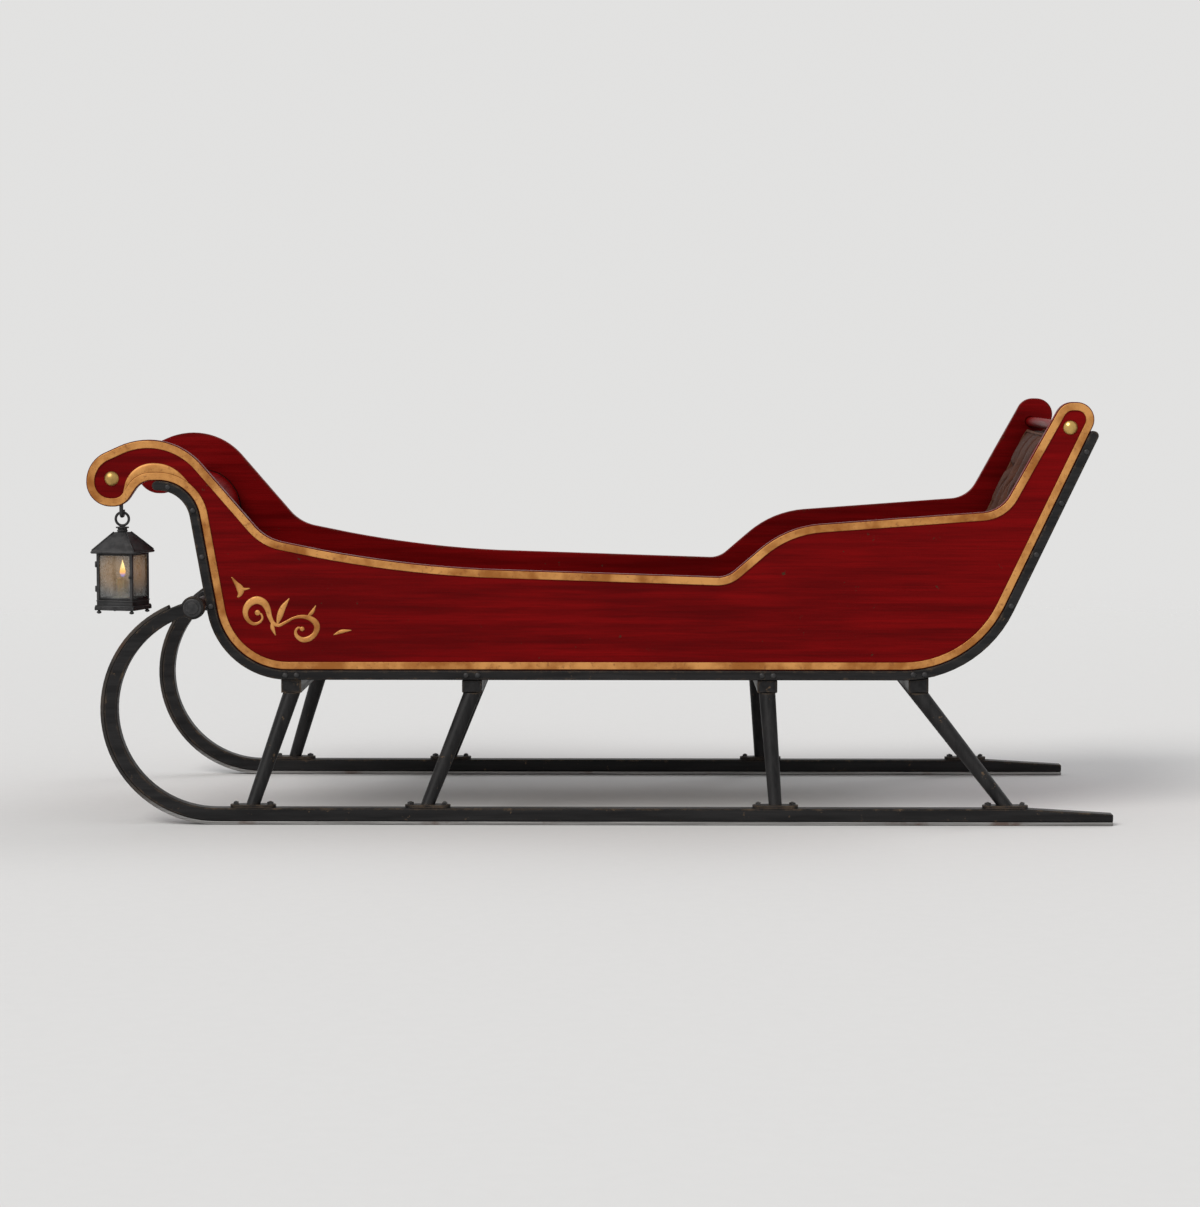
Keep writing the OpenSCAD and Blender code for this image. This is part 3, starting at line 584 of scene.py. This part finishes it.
def tube(line, radius, closed=False):
    """A round cord or rod along points in mm."""
    line = [Vector(p) for p in line]
    n = len(line)
    angles = [2 * math.pi * k / TUBE_STEPS for k in range(TUBE_STEPS)]
    points, side = [], None
    for i, p in enumerate(line):
        after = line[(i + 1) % n] if closed or i + 1 < n else p
        before = line[i - 1] if closed or i else p
        w = (after - before).normalized()
        if side is None:
            side = w.orthogonal()
        side = (side - w * side.dot(w)).normalized()
        over = w.cross(side)
        points += [(p + (side * math.cos(a) + over * math.sin(a)) * radius) * MM for a in angles]
    return points, rings_to_faces(n, TUBE_STEPS, closed)


class Run:
    """A bent edge in X and Z, in mm, from corners of (x, height above the floor, radius)."""

    def __init__(self, corners):
        corners = [Vector((x, FLOOR_Z + h, r)) for x, h, r in corners]
        points = [corners[0].xy]
        for p, q, s in zip(corners, corners[1:], corners[2:]):
            u, v = (p.xy - q.xy).normalized(), (s.xy - q.xy).normalized()
            half = u.angle(v) / 2
            centre = q.xy + (u + v).normalized() * q.z / math.sin(half)
            first = q.xy + u * q.z / math.tan(half) - centre
            last = q.xy + v * q.z / math.tan(half) - centre
            sweep = first.angle_signed(last)
            steps = max(4, int(abs(math.degrees(sweep)) / BEND_STEP))
            points += [centre + Matrix.Rotation(-sweep * i / steps, 2) @ first for i in range(steps + 1)]
        points.append(corners[-1].xy)
        self.line = np.array(points)
        lengths = np.linalg.norm(np.diff(self.line, axis=0), axis=1)
        self.reach = np.concatenate([[0], np.cumsum(lengths)])
        self.length = self.reach[-1]

    def on(self, s):
        """The point s along the run."""
        return np.array([np.interp(s, self.reach, self.line[:, k]) for k in (0, 1)])

    def at(self, s, out):
        """The point s along the run, and out to the right of it, which is outside the body."""
        near = 2
        way = self.on(s + near) - self.on(s - near)
        way /= np.linalg.norm(way)
        return self.on(s) + np.array([way[1], -way[0]]) * out


dash_run = Run(DASH_BENDS)
back_run = Run(BACK_BENDS)
throat_run = Run(THROAT_BENDS)

# Gilded ornament

# Strokes of the scroll at a side panel's front corner, as (x, z, width)
SCROLL = (
    ((839, 559, 2.5), (829, 545, 9), (819, 531, 17), (820, 519, 10), (826, 512, 3)),
    ((823, 534, 10), (811, 531, 7), (797, 533, 2)),
    ((780, 477, 4), (772, 474, 4.5), (769, 464, 5), (777, 454, 6), (791, 452, 8), (804, 463, 10),
     (808, 481, 13), (799, 498, 16), (782, 506, 18), (766, 500, 17), (757, 486, 14), (752, 468, 11),
     (744, 453, 9), (731, 448, 7.5), (716, 455, 6.5), (697, 465, 6), (675, 468, 9), (654, 461, 13),
     (644, 447, 14), (648, 430, 12), (661, 418, 13), (677, 415, 12), (690, 423, 9), (693, 435, 6),
     (686, 443, 5), (678, 440, 4)),
    ((735, 450, 3), (730, 467, 13), (722, 488, 13), (707, 510, 2)),
    ((747, 457, 3), (746, 443, 10), (739, 425, 2)),
    ((668, 466, 2.5), (656, 477, 9), (646, 494, 2)),
    ((606, 426, 2), (588, 434, 9), (565, 437, 2)),
)
SCROLL_STEP = 3
# Round ends of its two curls, as (x, z, radius), and their profile in shares of radius and rise
SCROLL_EYES = ((780, 477, 6.5), (678, 440, 5.5))
EYE = ((1.0, -0.25), (1.0, 0.3), (0.85, 0.75), (0.5, 1.05), (0.05, 1.15))
STROKE_RISE = 2.4
# Crescent in the throat: its start and length as shares of the throat's run
CRESCENT_FROM, CRESCENT_LONG = 0.40, 0.51
# Its width at the tips, how much wider it grows, how slender its tips are, and its lap on the bead
CRESCENT_TIP_W, CRESCENT_MORE_W = 1.5, 21
CRESCENT_SLENDER = 1.2
CRESCENT_LAP = 1
CRESCENT_POINTS = 40
STRIPE_W, STRIPE_RISE = 5.0, 1.0
STRIPE_STEP = 12
NOTCH_STEPS = 8
# Stripes on the dash and back: ends along the board; and, for both, half the width and the notch's radius
DASH_STRIPE, BACK_STRIPE = (215, 505), (70, 470)
STRIPE_HALF_W, STRIPE_NOTCH = 316, 34
# Stripe on the riser: its heights, half its width and its notch's radius
RISER_STRIPE = (380, 462)
RISER_STRIPE_HALF_W, RISER_STRIPE_NOTCH = 320, 18


def crescent_line():
    """The thick gold crescent inside the scroll's throat."""
    line = []
    for t in np.linspace(0, 1, CRESCENT_POINTS):
        w = CRESCENT_TIP_W + CRESCENT_MORE_W * math.sin(math.pi * t) ** CRESCENT_SLENDER
        s = throat_run.length * (CRESCENT_FROM + CRESCENT_LONG * t)
        x, z = throat_run.at(s, CRESCENT_LAP - BEAD_IN - w / 2)
        line.append((x, z, w))
    return line


def notched(s0, s1, y, notch):
    """A stripe round a board, with its corners turned inwards, as (along the board, across it, width)."""
    line = []
    for cs, cy, start in ((s1, y, 180), (s0, y, 270), (s0, -y, 0), (s1, -y, 90)):
        for k in range(NOTCH_STEPS + 1):
            a = math.radians(start + 90 - 90 * k / NOTCH_STEPS)
            line.append((cs + notch * math.cos(a), cy + notch * math.sin(a), STRIPE_W))
    dense = []
    for p, q in zip(line, line[1:] + line[:1]):
        n = max(1, int(math.hypot(q[0] - p[0], q[1] - p[1]) / STRIPE_STEP))
        dense += [tuple(a + (b - a) * i / n for a, b in zip(p, q)) for i in range(n)]
    return dense


def on_panel(sign):
    """Places a stroke on the outer face of a side panel."""
    def place(x, z, high):
        return x, sign * (PANEL_OUT + high), z
    return place


def on_board(run):
    """Places a stroke on the outer face of a bent board."""
    def place(s, y, high):
        x, z = run.at(s, BOARD_T + high)
        return x, y, z
    return place


def on_riser(y, z, high):
    """Places a stroke on the riser's front face."""
    return RISER_X + high, y, z


for side, sign in SIDES:
    outward = (0, sign, 0)
    strokes = [stroke(smooth_line(s, SCROLL_STEP), STROKE_RISE, on_panel(sign)) for s in SCROLL]
    eyes = [turned([(r * k, STROKE_RISE * h) for k, h in EYE], (x, sign * PANEL_OUT, z), outward)
            for x, z, r in SCROLL_EYES]
    piece(f"scroll_{side}", strokes + eyes, "gold_paint")
    crescent = stroke(crescent_line(), STROKE_RISE, on_panel(sign))
    piece(f"throat_crescent_{side}", [crescent], "gold_paint")

for name, run, ends in (("dash", dash_run, DASH_STRIPE), ("back", back_run, BACK_STRIPE)):
    line = notched(*ends, STRIPE_HALF_W, STRIPE_NOTCH)
    piece(f"{name}_stripe", [stroke(line, STRIPE_RISE, on_board(run), closed=True)], "gold_paint")

line = [(y, z, w) for z, y, w in notched(*RISER_STRIPE, RISER_STRIPE_HALF_W, RISER_STRIPE_NOTCH)]
piece("riser_stripe", [stroke(line, STRIPE_RISE, on_riser, closed=True)], "gold_paint")

# Bolts, nuts and nails

# Profile of a bolt's head, in shares of its radius
DOME = ((1.0, 0.0), (1.0, 0.12), (0.92, 0.32), (0.70, 0.50), (0.38, 0.60), (0.06, 0.63))
BOLT_R = 6.5
# Sill bolts: either side of a beam's middle, and along the dash and the back
BEAM_BOLTS = (-13, 13)
DASH_BOLTS, BACK_BOLTS = (245, 360, 470, 562), (40, 170, 300, 430)
# Nuts either side of a foot's middle
FOOT_NUTS = (-39, 39)
NUT_R = 7.5
NOSE_WASHER = ((14.3, 0), (21, 0), (21, 2.2), (19.5, 3), (14.3, 3))
# Rows of floor nails, two to a board and a little out of line
NAIL = ((4.5, -1), (4.5, 0.4), (3.4, 1.0), (0.6, 1.3))
NAIL_ROWS = (690, 289, -388, -640)
NAILS = (-45, 45)
NAIL_SHIFT = 4


def dome(at, axis):
    """A bolt's round head."""
    return turned([(k * BOLT_R, h * BOLT_R) for k, h in DOME], at, axis, steps=16)


def nut(at, axis, r, spin):
    """A square nut on a washer, with the bolt's end standing out of it."""
    washer = turned(((r * 1.05, 0), (r * 1.05, 0.8), (r * 0.98, 1.2)), at, axis)
    body = turned(((r, 1.2), (r, 4.6), (r * 0.86, 5.6)), at, axis, steps=4, spin=spin)
    end = turned(((r * 0.46, 5.6), (r * 0.46, 6.4), (r * 0.36, 7.0)), at, axis, steps=12)
    return [washer, body, end]


def sill_middle(x):
    """Height of a sill's middle at x, on the floor or on the back's bend."""
    if x > back_run.line[-1, 0]:
        return FLOOR_Z - SILL_T / 2
    s = np.interp(x, back_run.line[:, 0], back_run.reach)
    return back_run.at(s, SILL_T / 2)[1]


bolt_places = [(x + dx, sill_middle(x)) for x in BENCH_X for dx in BEAM_BOLTS]
bolt_places += [dash_run.at(s, SILL_T / 2) for s in DASH_BOLTS]
bolt_places += [back_run.at(s, SILL_T / 2) for s in BACK_BOLTS]
for side, sign in SIDES:
    outward = (0, sign, 0)
    heads = [dome((x, sign * SILL_OUT, z), outward) for x, z in bolt_places]
    piece(f"sill_bolts_{side}", heads, "black_iron")
    nuts = []
    for i, x in enumerate(FOOT_X):
        for dx in FOOT_NUTS:
            spin = 0.4 + 0.7 * i + 0.01 * dx
            nuts += nut((x + dx, sign * RUNNER_Y, FOOT_TOP), UP, NUT_R, spin)
    piece(f"foot_nuts_{side}", nuts, "black_iron", smooth=False)
    washer = turned(NOSE_WASHER, (NOSE_X, sign * RUNNER_OUT, NOSE_Z), outward, steps=32)
    piece(f"nose_washer_{side}", [washer], "black_iron", smooth=False)

nails = []
board_w = (2 * FLOOR_HALF_W - (BOARDS - 1) * BOARD_GAP) / BOARDS
for x in NAIL_ROWS:
    for i in range(BOARDS):
        y = -FLOOR_HALF_W + board_w / 2 + i * (board_w + BOARD_GAP)
        at_x = x + NAIL_SHIFT * (i % 2)
        nails += [turned(NAIL, (at_x, y + dy, FLOOR_Z), UP, steps=12) for dy in NAILS]
piece("floor_nails", nails, "black_iron")

# Cushions

# Size of one square of a cover, in mm, and frames that its filling takes
CELL = 7.0
SWELL_FRAMES = 18
# Furthest that a point of a cover swells, in metres
SWELL_MOST = 0.016
# Radius of a cushion's corners, how far its sides draw in, height of its lower seam, bulge of its band
CORNER_R = 34.0
DRAW_IN = 5.0
LOW_SEAM = 9.0
BULGE = 4.0
# Outer share of the underside that rises to the lower seam, and of the top where the pleats run out
UNDER_EDGE = 0.14
TOP_EDGE = 0.08
# How square the crown is in plan, and how flat on top
CROWN_SQUARE, CROWN_FLAT = 3.2, 0.55
# Distance of a cover's seams inside the solid cushion, and of the back cushion from the back
COVER_IN = 1
BACK_GAP = 0.4
# Pleats: the longest between two buttons, radius, depth as a share of the buttons' depth, and hold
LONGEST_PLEAT = 165
PLEAT_R = 8
PLEAT_DIP = 0.62
PLEAT_HOLD = 0.70
# Buttons: hollows round them as (share of the depth, radius), radius that is held, and profile
HOLLOWS = ((0.72, 30), (0.28, 11))
BUTTON_HOLD = 9
BUTTON = ((9.5, -3.0), (12.4, 0.5), (12.8, 2.6), (11.6, 5.2), (8.4, 7.4), (4.0, 8.6), (0.3, 8.9))
# Piping: radius, and distance outside the seam
PIPING_R = 4.2
PIPING_OUT = 1.5


def swell(obj, hold):
    """Fills a sewn cover by cloth simulation; hold keeps its seams, pleats and buttons."""
    start = np.array([v.co for v in obj.data.vertices])
    held = obj.vertex_groups.new(name="held")
    for i, share in enumerate(hold):
        if share > 0.01:
            held.add([i], float(share), "REPLACE")
    cloth = obj.modifiers.new("cloth", "CLOTH")
    made = cloth.settings
    made.quality = 6
    made.mass = 0.20
    made.tension_stiffness = 14
    made.compression_stiffness = 14
    made.shear_stiffness = 6
    made.bending_stiffness = 0.8
    made.use_pressure = True
    made.uniform_pressure_force = 4.0
    made.vertex_group_mass = "held"
    made.effector_weights.gravity = 0
    cloth.collision_settings.use_collision = False
    cloth.point_cache.frame_end = SWELL_FRAMES
    for f in range(1, SWELL_FRAMES + 1):
        scene.frame_set(f)
    filled = obj.evaluated_get(bpy.context.evaluated_depsgraph_get())
    move = np.array([v.co for v in filled.data.vertices]) - start
    obj.modifiers.remove(cloth)
    scene.frame_set(1)
    length = np.linalg.norm(move, axis=1)
    move *= (SWELL_MOST * np.tanh(length / SWELL_MOST) / np.maximum(length, 1e-9))[:, None]
    obj.data.vertices.foreach_set("co", (start + move).ravel())
    obj.data.update()


def boxed_grid(na, nb, nc):
    """A closed box of small squares: its points, from -1 to 1 across and along and from 0 to 1 up,
    the number of the point at each step, and the faces."""
    index, grid = {}, []

    def at(i, j, k):
        if (i, j, k) not in index:
            index[i, j, k] = len(grid)
            grid.append((2 * i / na - 1, 2 * j / nb - 1, k / nc))
        return index[i, j, k]

    faces = []
    for i in range(na):
        for j in range(nb):
            faces.append([at(i, j, nc), at(i + 1, j, nc), at(i + 1, j + 1, nc), at(i, j + 1, nc)])
            faces.append([at(i, j, 0), at(i, j + 1, 0), at(i + 1, j + 1, 0), at(i + 1, j, 0)])
    for k in range(nc):
        for i in range(na):
            faces.append([at(i, 0, k), at(i + 1, 0, k), at(i + 1, 0, k + 1), at(i, 0, k + 1)])
            faces.append([at(i, nb, k), at(i, nb, k + 1), at(i + 1, nb, k + 1), at(i + 1, nb, k)])
        for j in range(nb):
            faces.append([at(0, j, k), at(0, j, k + 1), at(0, j + 1, k + 1), at(0, j + 1, k)])
            faces.append([at(na, j, k), at(na, j + 1, k), at(na, j + 1, k + 1), at(na, j, k + 1)])
    return np.array(grid), index, faces


def flat_places(a, b, c, far, half_a, half_b):
    """Where the points of a boxed grid lie in the cushion's plan, with rounded corners and a bulging band."""
    rim = np.column_stack([a / far * half_a, b / far * half_b])
    rim[:, 0] -= np.sign(rim[:, 0]) * DRAW_IN * (1 - (b / far) ** 2)
    rim[:, 1] -= np.sign(rim[:, 1]) * DRAW_IN * (1 - (a / far) ** 2)
    inner = np.array([half_a - CORNER_R, half_b - CORNER_R])
    over = abs(rim) - inner
    rounded = np.all(over > 0, axis=1)
    length = np.linalg.norm(over, axis=1)
    rim[rounded] = np.sign(rim[rounded]) * (inner + over[rounded] / length[rounded, None] * CORNER_R)
    flat = rim * far[:, None]
    band = (c > 0) & (c < 1)
    flat[band] *= 1 + BULGE * np.sin(np.pi * c[band])[:, None] / np.linalg.norm(rim[band], axis=1)[:, None]
    return flat


def pleat_lines(rows, buttons, half_a, half_b):
    """Pleats between near buttons of two rows, and straight from the outer buttons to the edges."""
    pleats = [(p, q) for n, p in enumerate(buttons) for q in buttons[n + 1:]
              if abs(p[1] - q[1]) > 1 and math.dist(p, q) < LONGEST_PLEAT]
    pleats += [((x * half_a, y * half_b), (x * half_a, math.copysign(half_b, y)))
               for y, xs in (rows[0], rows[-1]) for x in xs]
    pleats += [((x * half_a, y * half_b), (math.copysign(half_a, x), y * half_b))
               for y, xs in rows for x in (xs[0], xs[-1])]
    return pleats


def apart(points, p, q):
    """Distance of flat points from the line between p and q."""
    p, q = np.array(p, float), np.array(q, float)
    t = np.clip((points - p) @ (q - p) / ((q - p) @ (q - p)), 0, 1)
    return np.linalg.norm(points - (p + t[:, None] * (q - p)), axis=1)


def cushion(name, origin, deep, up, face, half_a, half_b, seam, crown, dip, rows):
    """A buttoned leather cushion: a flat underside, a boxed band between two piped seams, and a crowned top.
    Local x runs across the sleigh, y along deep and z along up; sizes in mm."""
    na, nb, nc = round(2 * half_a / CELL), round(2 * half_b / CELL), max(3, round(seam / CELL))
    grid, index, faces = boxed_grid(na, nb, nc)
    a, b, c = grid.T
    far = np.maximum(np.maximum(abs(a), abs(b)), 1e-9)
    flat = flat_places(a, b, c, far, half_a, half_b)
    top = c == 1
    edge = np.clip((far - (1 - UNDER_EDGE)) / UNDER_EDGE, 0, 1)
    high = np.where(c == 0, LOW_SEAM * edge ** 2, LOW_SEAM + (seam - LOW_SEAM) * c)
    fall = (1 - abs(a[top]) ** CROWN_SQUARE) * (1 - abs(b[top]) ** CROWN_SQUARE)
    high[top] = seam + crown * fall ** CROWN_FLAT

    buttons = [(x * half_a, y * half_b) for y, xs in rows for x in xs]
    hold = np.where(c == 0, 1.0, 0.0)
    hold[(far > 0.9999) & top] = 1.0
    sunk = np.zeros(len(grid))
    for p, q in pleat_lines(rows, buttons, half_a, half_b):
        valley = np.exp(-(apart(flat, p, q) / PLEAT_R) ** 2)
        sunk = np.maximum(sunk, PLEAT_DIP * dip * valley)
        hold[top] = np.maximum(hold[top], PLEAT_HOLD * valley[top])
    for p in buttons:
        d = np.linalg.norm(flat - np.array(p), axis=1)
        sunk = np.maximum(sunk, dip * sum(share * np.exp(-(d / r) ** 2) for share, r in HOLLOWS))
        hold[top] = np.maximum(hold[top], (d[top] < BUTTON_HOLD) * 1.0)
    high[top] -= sunk[top] * np.clip((1 - far[top]) / TOP_EDGE, 0, 1)

    across = np.array((0.0, 1.0, 0.0))
    origin, deep, up = (np.array(v, float) for v in (origin, deep, up))
    place = (origin + flat[:, :1] * across + flat[:, 1:] * deep + high[:, None] * up) * MM
    obj = piece(f"{name}_cover", [(place, faces)], "leather")
    swell(obj, hold)
    finer = obj.modifiers.new("finer", "SUBSURF")
    finer.levels = 1
    finer.render_levels = 1
    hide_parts(f"{name}_cushion")

    now = np.array([v.co for v in obj.data.vertices]) / MM
    outward = flat / np.linalg.norm(flat, axis=1)[:, None].clip(1e-6)
    seams = []
    for k in (0, nc):
        loop = ([(i, 0, k) for i in range(na)] + [(na, j, k) for j in range(nb)]
                + [(i, nb, k) for i in range(na, 0, -1)] + [(0, j, k) for j in range(nb, 0, -1)])
        ids = [index[p] for p in loop]
        line = now[ids] + (outward[ids, :1] * across + outward[ids, 1:] * deep) * PIPING_OUT
        seams.append(tube(line, PIPING_R, closed=True))
    piece(f"{name}_piping", seams, "leather")
    knobs = []
    for p in buttons:
        d = np.linalg.norm(flat - np.array(p), axis=1)
        d[~top] = np.inf
        knobs.append(turned(BUTTON, now[np.argmin(d)], face))
    piece(f"{name}_buttons", knobs, "leather")


# Rows of five and of four buttons, as shares of half a cushion's width
FIVE, FOUR = (-0.66, -0.33, 0.0, 0.33, 0.66), (-0.495, -0.165, 0.165, 0.495)
cushion("seat", origin=(middle(seat_box, X), 0, seat_box[0][Z]), deep=(1, 0, 0), up=UP, face=UP,
        half_a=seat_box[1][Y] - COVER_IN, half_b=(seat_box[1][X] - seat_box[0][X]) / 2 - COVER_IN,
        seam=62, crown=26, dip=30, rows=((-0.5, FIVE), (0.0, FOUR), (0.5, FIVE)))
# The back cushion leans with the back
middle_h = middle(back_box, Z) - FLOOR_Z
rake_sin, rake_cos = math.sin(BACK_RAKE), math.cos(BACK_RAKE)
cushion("back", origin=(BACK_X - middle_h * math.tan(BACK_RAKE) + BACK_GAP, 0, FLOOR_Z + middle_h),
        deep=(-rake_sin, 0, rake_cos), up=(1 / rake_cos, 0, 0), face=(rake_cos, 0, rake_sin),
        half_a=back_box[1][Y] - COVER_IN, half_b=148.5,
        seam=44, crown=20, dip=24, rows=((-0.36, FIVE), (0.36, FOUR)))

# Lantern

CORNERS = ((1, 1), (-1, 1), (-1, -1), (1, -1))
# Beads round the eaves, the plinth and the base, as (half a side, height, radius)
BEADS = ((54, POST_TOP + 3.2, 2.4), (47, PLINTH_TOP + 1, 2.6), (45.2, BASE_TOP - 2.5, 1.8))
# Roof hips from the eaves to the top, as (half a side, height), and their radius
HIP = ((52.5, EAVE_Z + 1), (34, EAVE_Z + 21.2), (14.5, ROOF_TOP))
HIP_R = 2.0
# Bars along the lower and upper edges of the panes: half a side, heights and radius
BAR_HALF, BAR_R = 41.5, 2.6
BAR_Z = (BASE_TOP + 2.2, POST_TOP - 2.2)
# Profiles and places of the studs that it stands on, the hinges, the latch and the collar round the vent
STUD = ((2.5, 1), (3.2, -1.5), (5.6, -4), (5.2, -6.5), (2.0, -8))
STUD_HALF = 41
HINGE = ((1.2, -7), (2.6, -6), (2.6, 6), (1.2, 7))
HINGE_AT, HINGE_Z = (46.2, 44.0), (532, 588)
LATCH = ((1.6, 0), (1.6, 3), (3.2, 4.2), (3.4, 6.4), (1.8, 7.8), (0.3, 8.0))
LATCH_AT = (-41.5, 45.2, 560)
COLLAR = ((10.8, 0), (12.6, 1.2), (12.6, 2.6), (10.8, 3.8))
# The candle's rim, its drips as (angle in radians, length), its wick and its flame
RIM = ((12.0, -3.5), (13.5, -3.8), (14.0, -1.2), (13.2, 0.9), (11.4, 1.5), (9.8, 0.7), (9.2, -0.5))
DRIPS = ((0.4, 13), (1.9, 22), (3.3, 9), (4.6, 17), (5.6, 7))
DRIPS_AT = 12.6
WICK = ((0, 0, -2), (0.3, 0, 4), (1.4, 0.6, 9))
WICK_R = 0.9
FLAME = ((0.5, 0), (3.0, 1.8), (5.4, 5.5), (6.6, 10.5), (6.2, 16.5), (4.6, 23.5), (2.6, 30.5), (1.0, 36),
         (0.1, 39.5))
FLAME_FROM = (0.5, 0, 3)


def in_lantern(x, y, z):
    """A point given in the lantern's own turned directions."""
    c, s = math.cos(LANTERN_TURN), math.sin(LANTERN_TURN)
    return Vector((LANTERN_X + x * c - y * s, LANTERN_Y + x * s + y * c, z))


def over_candle(x, y, h):
    """A point given from the middle of the candle's top."""
    return LANTERN_X + x, LANTERN_Y + y, CANDLE_TOP + h


def lantern_sides(half, z, shares):
    """For each side of a square round the lantern, the points at some shares of its length."""
    for (px, py), (qx, qy) in zip(CORNERS, CORNERS[1:] + CORNERS[:1]):
        yield [in_lantern(half * (px + (qx - px) * t), half * (py + (qy - py) * t), z) for t in shares]


def bead(half, z, r):
    """A bead round the lantern."""
    return tube([p for side in lantern_sides(half, z, (0.02, 0.5, 0.98)) for p in side], r, closed=True)


def drip(turn, long):
    """A run of wax down the candle."""
    profile = ((0.5, 0.5), (1.9, -1), (2.0, -long * 0.6),
               (2.7, -long), (1.9, -long - 2.6), (0.4, -long - 3.6))
    at = over_candle(DRIPS_AT * math.cos(turn), DRIPS_AT * math.sin(turn), 0)
    return turned(profile, at, UP, steps=12)


trim = [bead(*sizes) for sizes in BEADS]
trim += [tube([in_lantern(x * half, y * half, z) for half, z in HIP], HIP_R) for x, y in CORNERS]
bars = zip(*(lantern_sides(BAR_HALF, z, (0.05, 0.5, 0.95)) for z in BAR_Z))
trim += [tube(bar, BAR_R) for pair in bars for bar in pair]
trim += [turned(STUD, in_lantern(x * STUD_HALF, y * STUD_HALF, BASE_LOW), UP, steps=16) for x, y in CORNERS]
trim += [turned(HINGE, in_lantern(*HINGE_AT, z), UP, steps=12) for z in HINGE_Z]
door_out = in_lantern(0, 1, 0) - in_lantern(0, 0, 0)
trim.append(turned(LATCH, in_lantern(*LATCH_AT), door_out, steps=16))
trim.append(turned(COLLAR, (LANTERN_X, LANTERN_Y, ROOF_TOP + 1), UP, steps=28))
piece("lantern_trim", trim, "black_iron", "lantern")

drips = [turned(RIM, over_candle(0, 0, 0), UP, steps=28)] + [drip(*sizes) for sizes in DRIPS]
piece("candle_drips", drips, "wax", "lantern")
wick = tube([over_candle(*p) for p in WICK], WICK_R)
piece("candle_wick", [wick], None, "lantern", LOOKS["black_iron"])
flame = turned(FLAME, over_candle(*FLAME_FROM), UP)
piece("candle_flame", [flame], None, "lantern", flame_look())

# Floor and light

FLOOR_SIZE, FLOOR_DROP = 120, 0.0005
FLOOR_TONE = (0.78, 0.775, 0.765)
SKY_LIGHT, SKY_TINT = 0.55, (0.97, 0.98, 1.0)
BACKGROUND = (0.76, 0.757, 0.75)
# Distances between which the floor fades into the background, in metres
FADE_FROM, FADE_TO = 2.2, 9.0

bpy.ops.mesh.primitive_grid_add(x_subdivisions=4, y_subdivisions=4, size=FLOOR_SIZE,
                                location=(0, 0, -FLOOR_DROP))
floor = bpy.context.object
floor.name = "floor"
ground = Look("floor", Specular_IOR_Level=0.1)
speckle = ground.noise(30.0, detail=4.0)
tone = ground.mix(ground.span(speckle, 0.3, 0.7, 0.0, 0.35), FLOOR_TONE, [c * 0.97 for c in FLOOR_TONE])
ground.finish(tone, 0.85)
away = ground.node("ShaderNodeVectorMath", {0: ground.place}, operation="LENGTH").outputs["Value"]
clear = ground.node("ShaderNodeBsdfTransparent")
fade = ground.node("ShaderNodeMixShader", {
    0: ground.span(away, FADE_FROM, FADE_TO), 1: ground.shader.outputs[0], 2: clear.outputs[0]})
ground.tree.links.new(fade.outputs[0], ground.tree.nodes["Material Output"].inputs["Surface"])
floor.data.materials.append(ground.material)

# The sky lights the sleigh evenly, and is seen and reflected as the plain background
world = bpy.data.worlds.new("studio")
scene.world = world
world.use_nodes = True
sky = world.node_tree
shown, lit = sky.nodes["Background"], sky.nodes.new("ShaderNodeBackground")
shown.inputs["Color"].default_value = (*BACKGROUND, 1)
lit.inputs["Color"].default_value = (*SKY_TINT, 1)
lit.inputs["Strength"].default_value = SKY_LIGHT
path = sky.nodes.new("ShaderNodeLightPath")
seen = path.outputs["Is Camera Ray"]
for kind in ("Is Glossy Ray", "Is Transmission Ray"):
    most = sky.nodes.new("ShaderNodeMath")
    most.operation = "MAXIMUM"
    sky.links.new(seen, most.inputs[0])
    sky.links.new(path.outputs[kind], most.inputs[1])
    seen = most.outputs[0]
choose = sky.nodes.new("ShaderNodeMixShader")
sky.links.new(seen, choose.inputs[0])
sky.links.new(lit.outputs[0], choose.inputs[1])
sky.links.new(shown.outputs[0], choose.inputs[2])
sky.links.new(choose.outputs[0], sky.nodes["World Output"].inputs["Surface"])


def sun(name, towards, strength, spread, tint):
    """A far, wide lamp that lights the floor evenly; towards points from the sleigh to the lamp."""
    data = bpy.data.lights.new(name, "SUN")
    data.energy = strength
    data.angle = math.radians(spread)
    data.color = tint
    obj = bpy.data.objects.new(name, data)
    obj.rotation_euler = Vector(towards).to_track_quat("Z", "Y").to_euler()
    scene.collection.objects.link(obj)


sun("key", towards=(0.45, 0.60, 0.70), strength=1.55, spread=32, tint=(1.0, 0.98, 0.95))
sun("back", towards=(-0.55, -0.60, 0.60), strength=0.45, spread=30, tint=(0.97, 0.98, 1.0))
scene.view_settings.view_transform = "Standard"
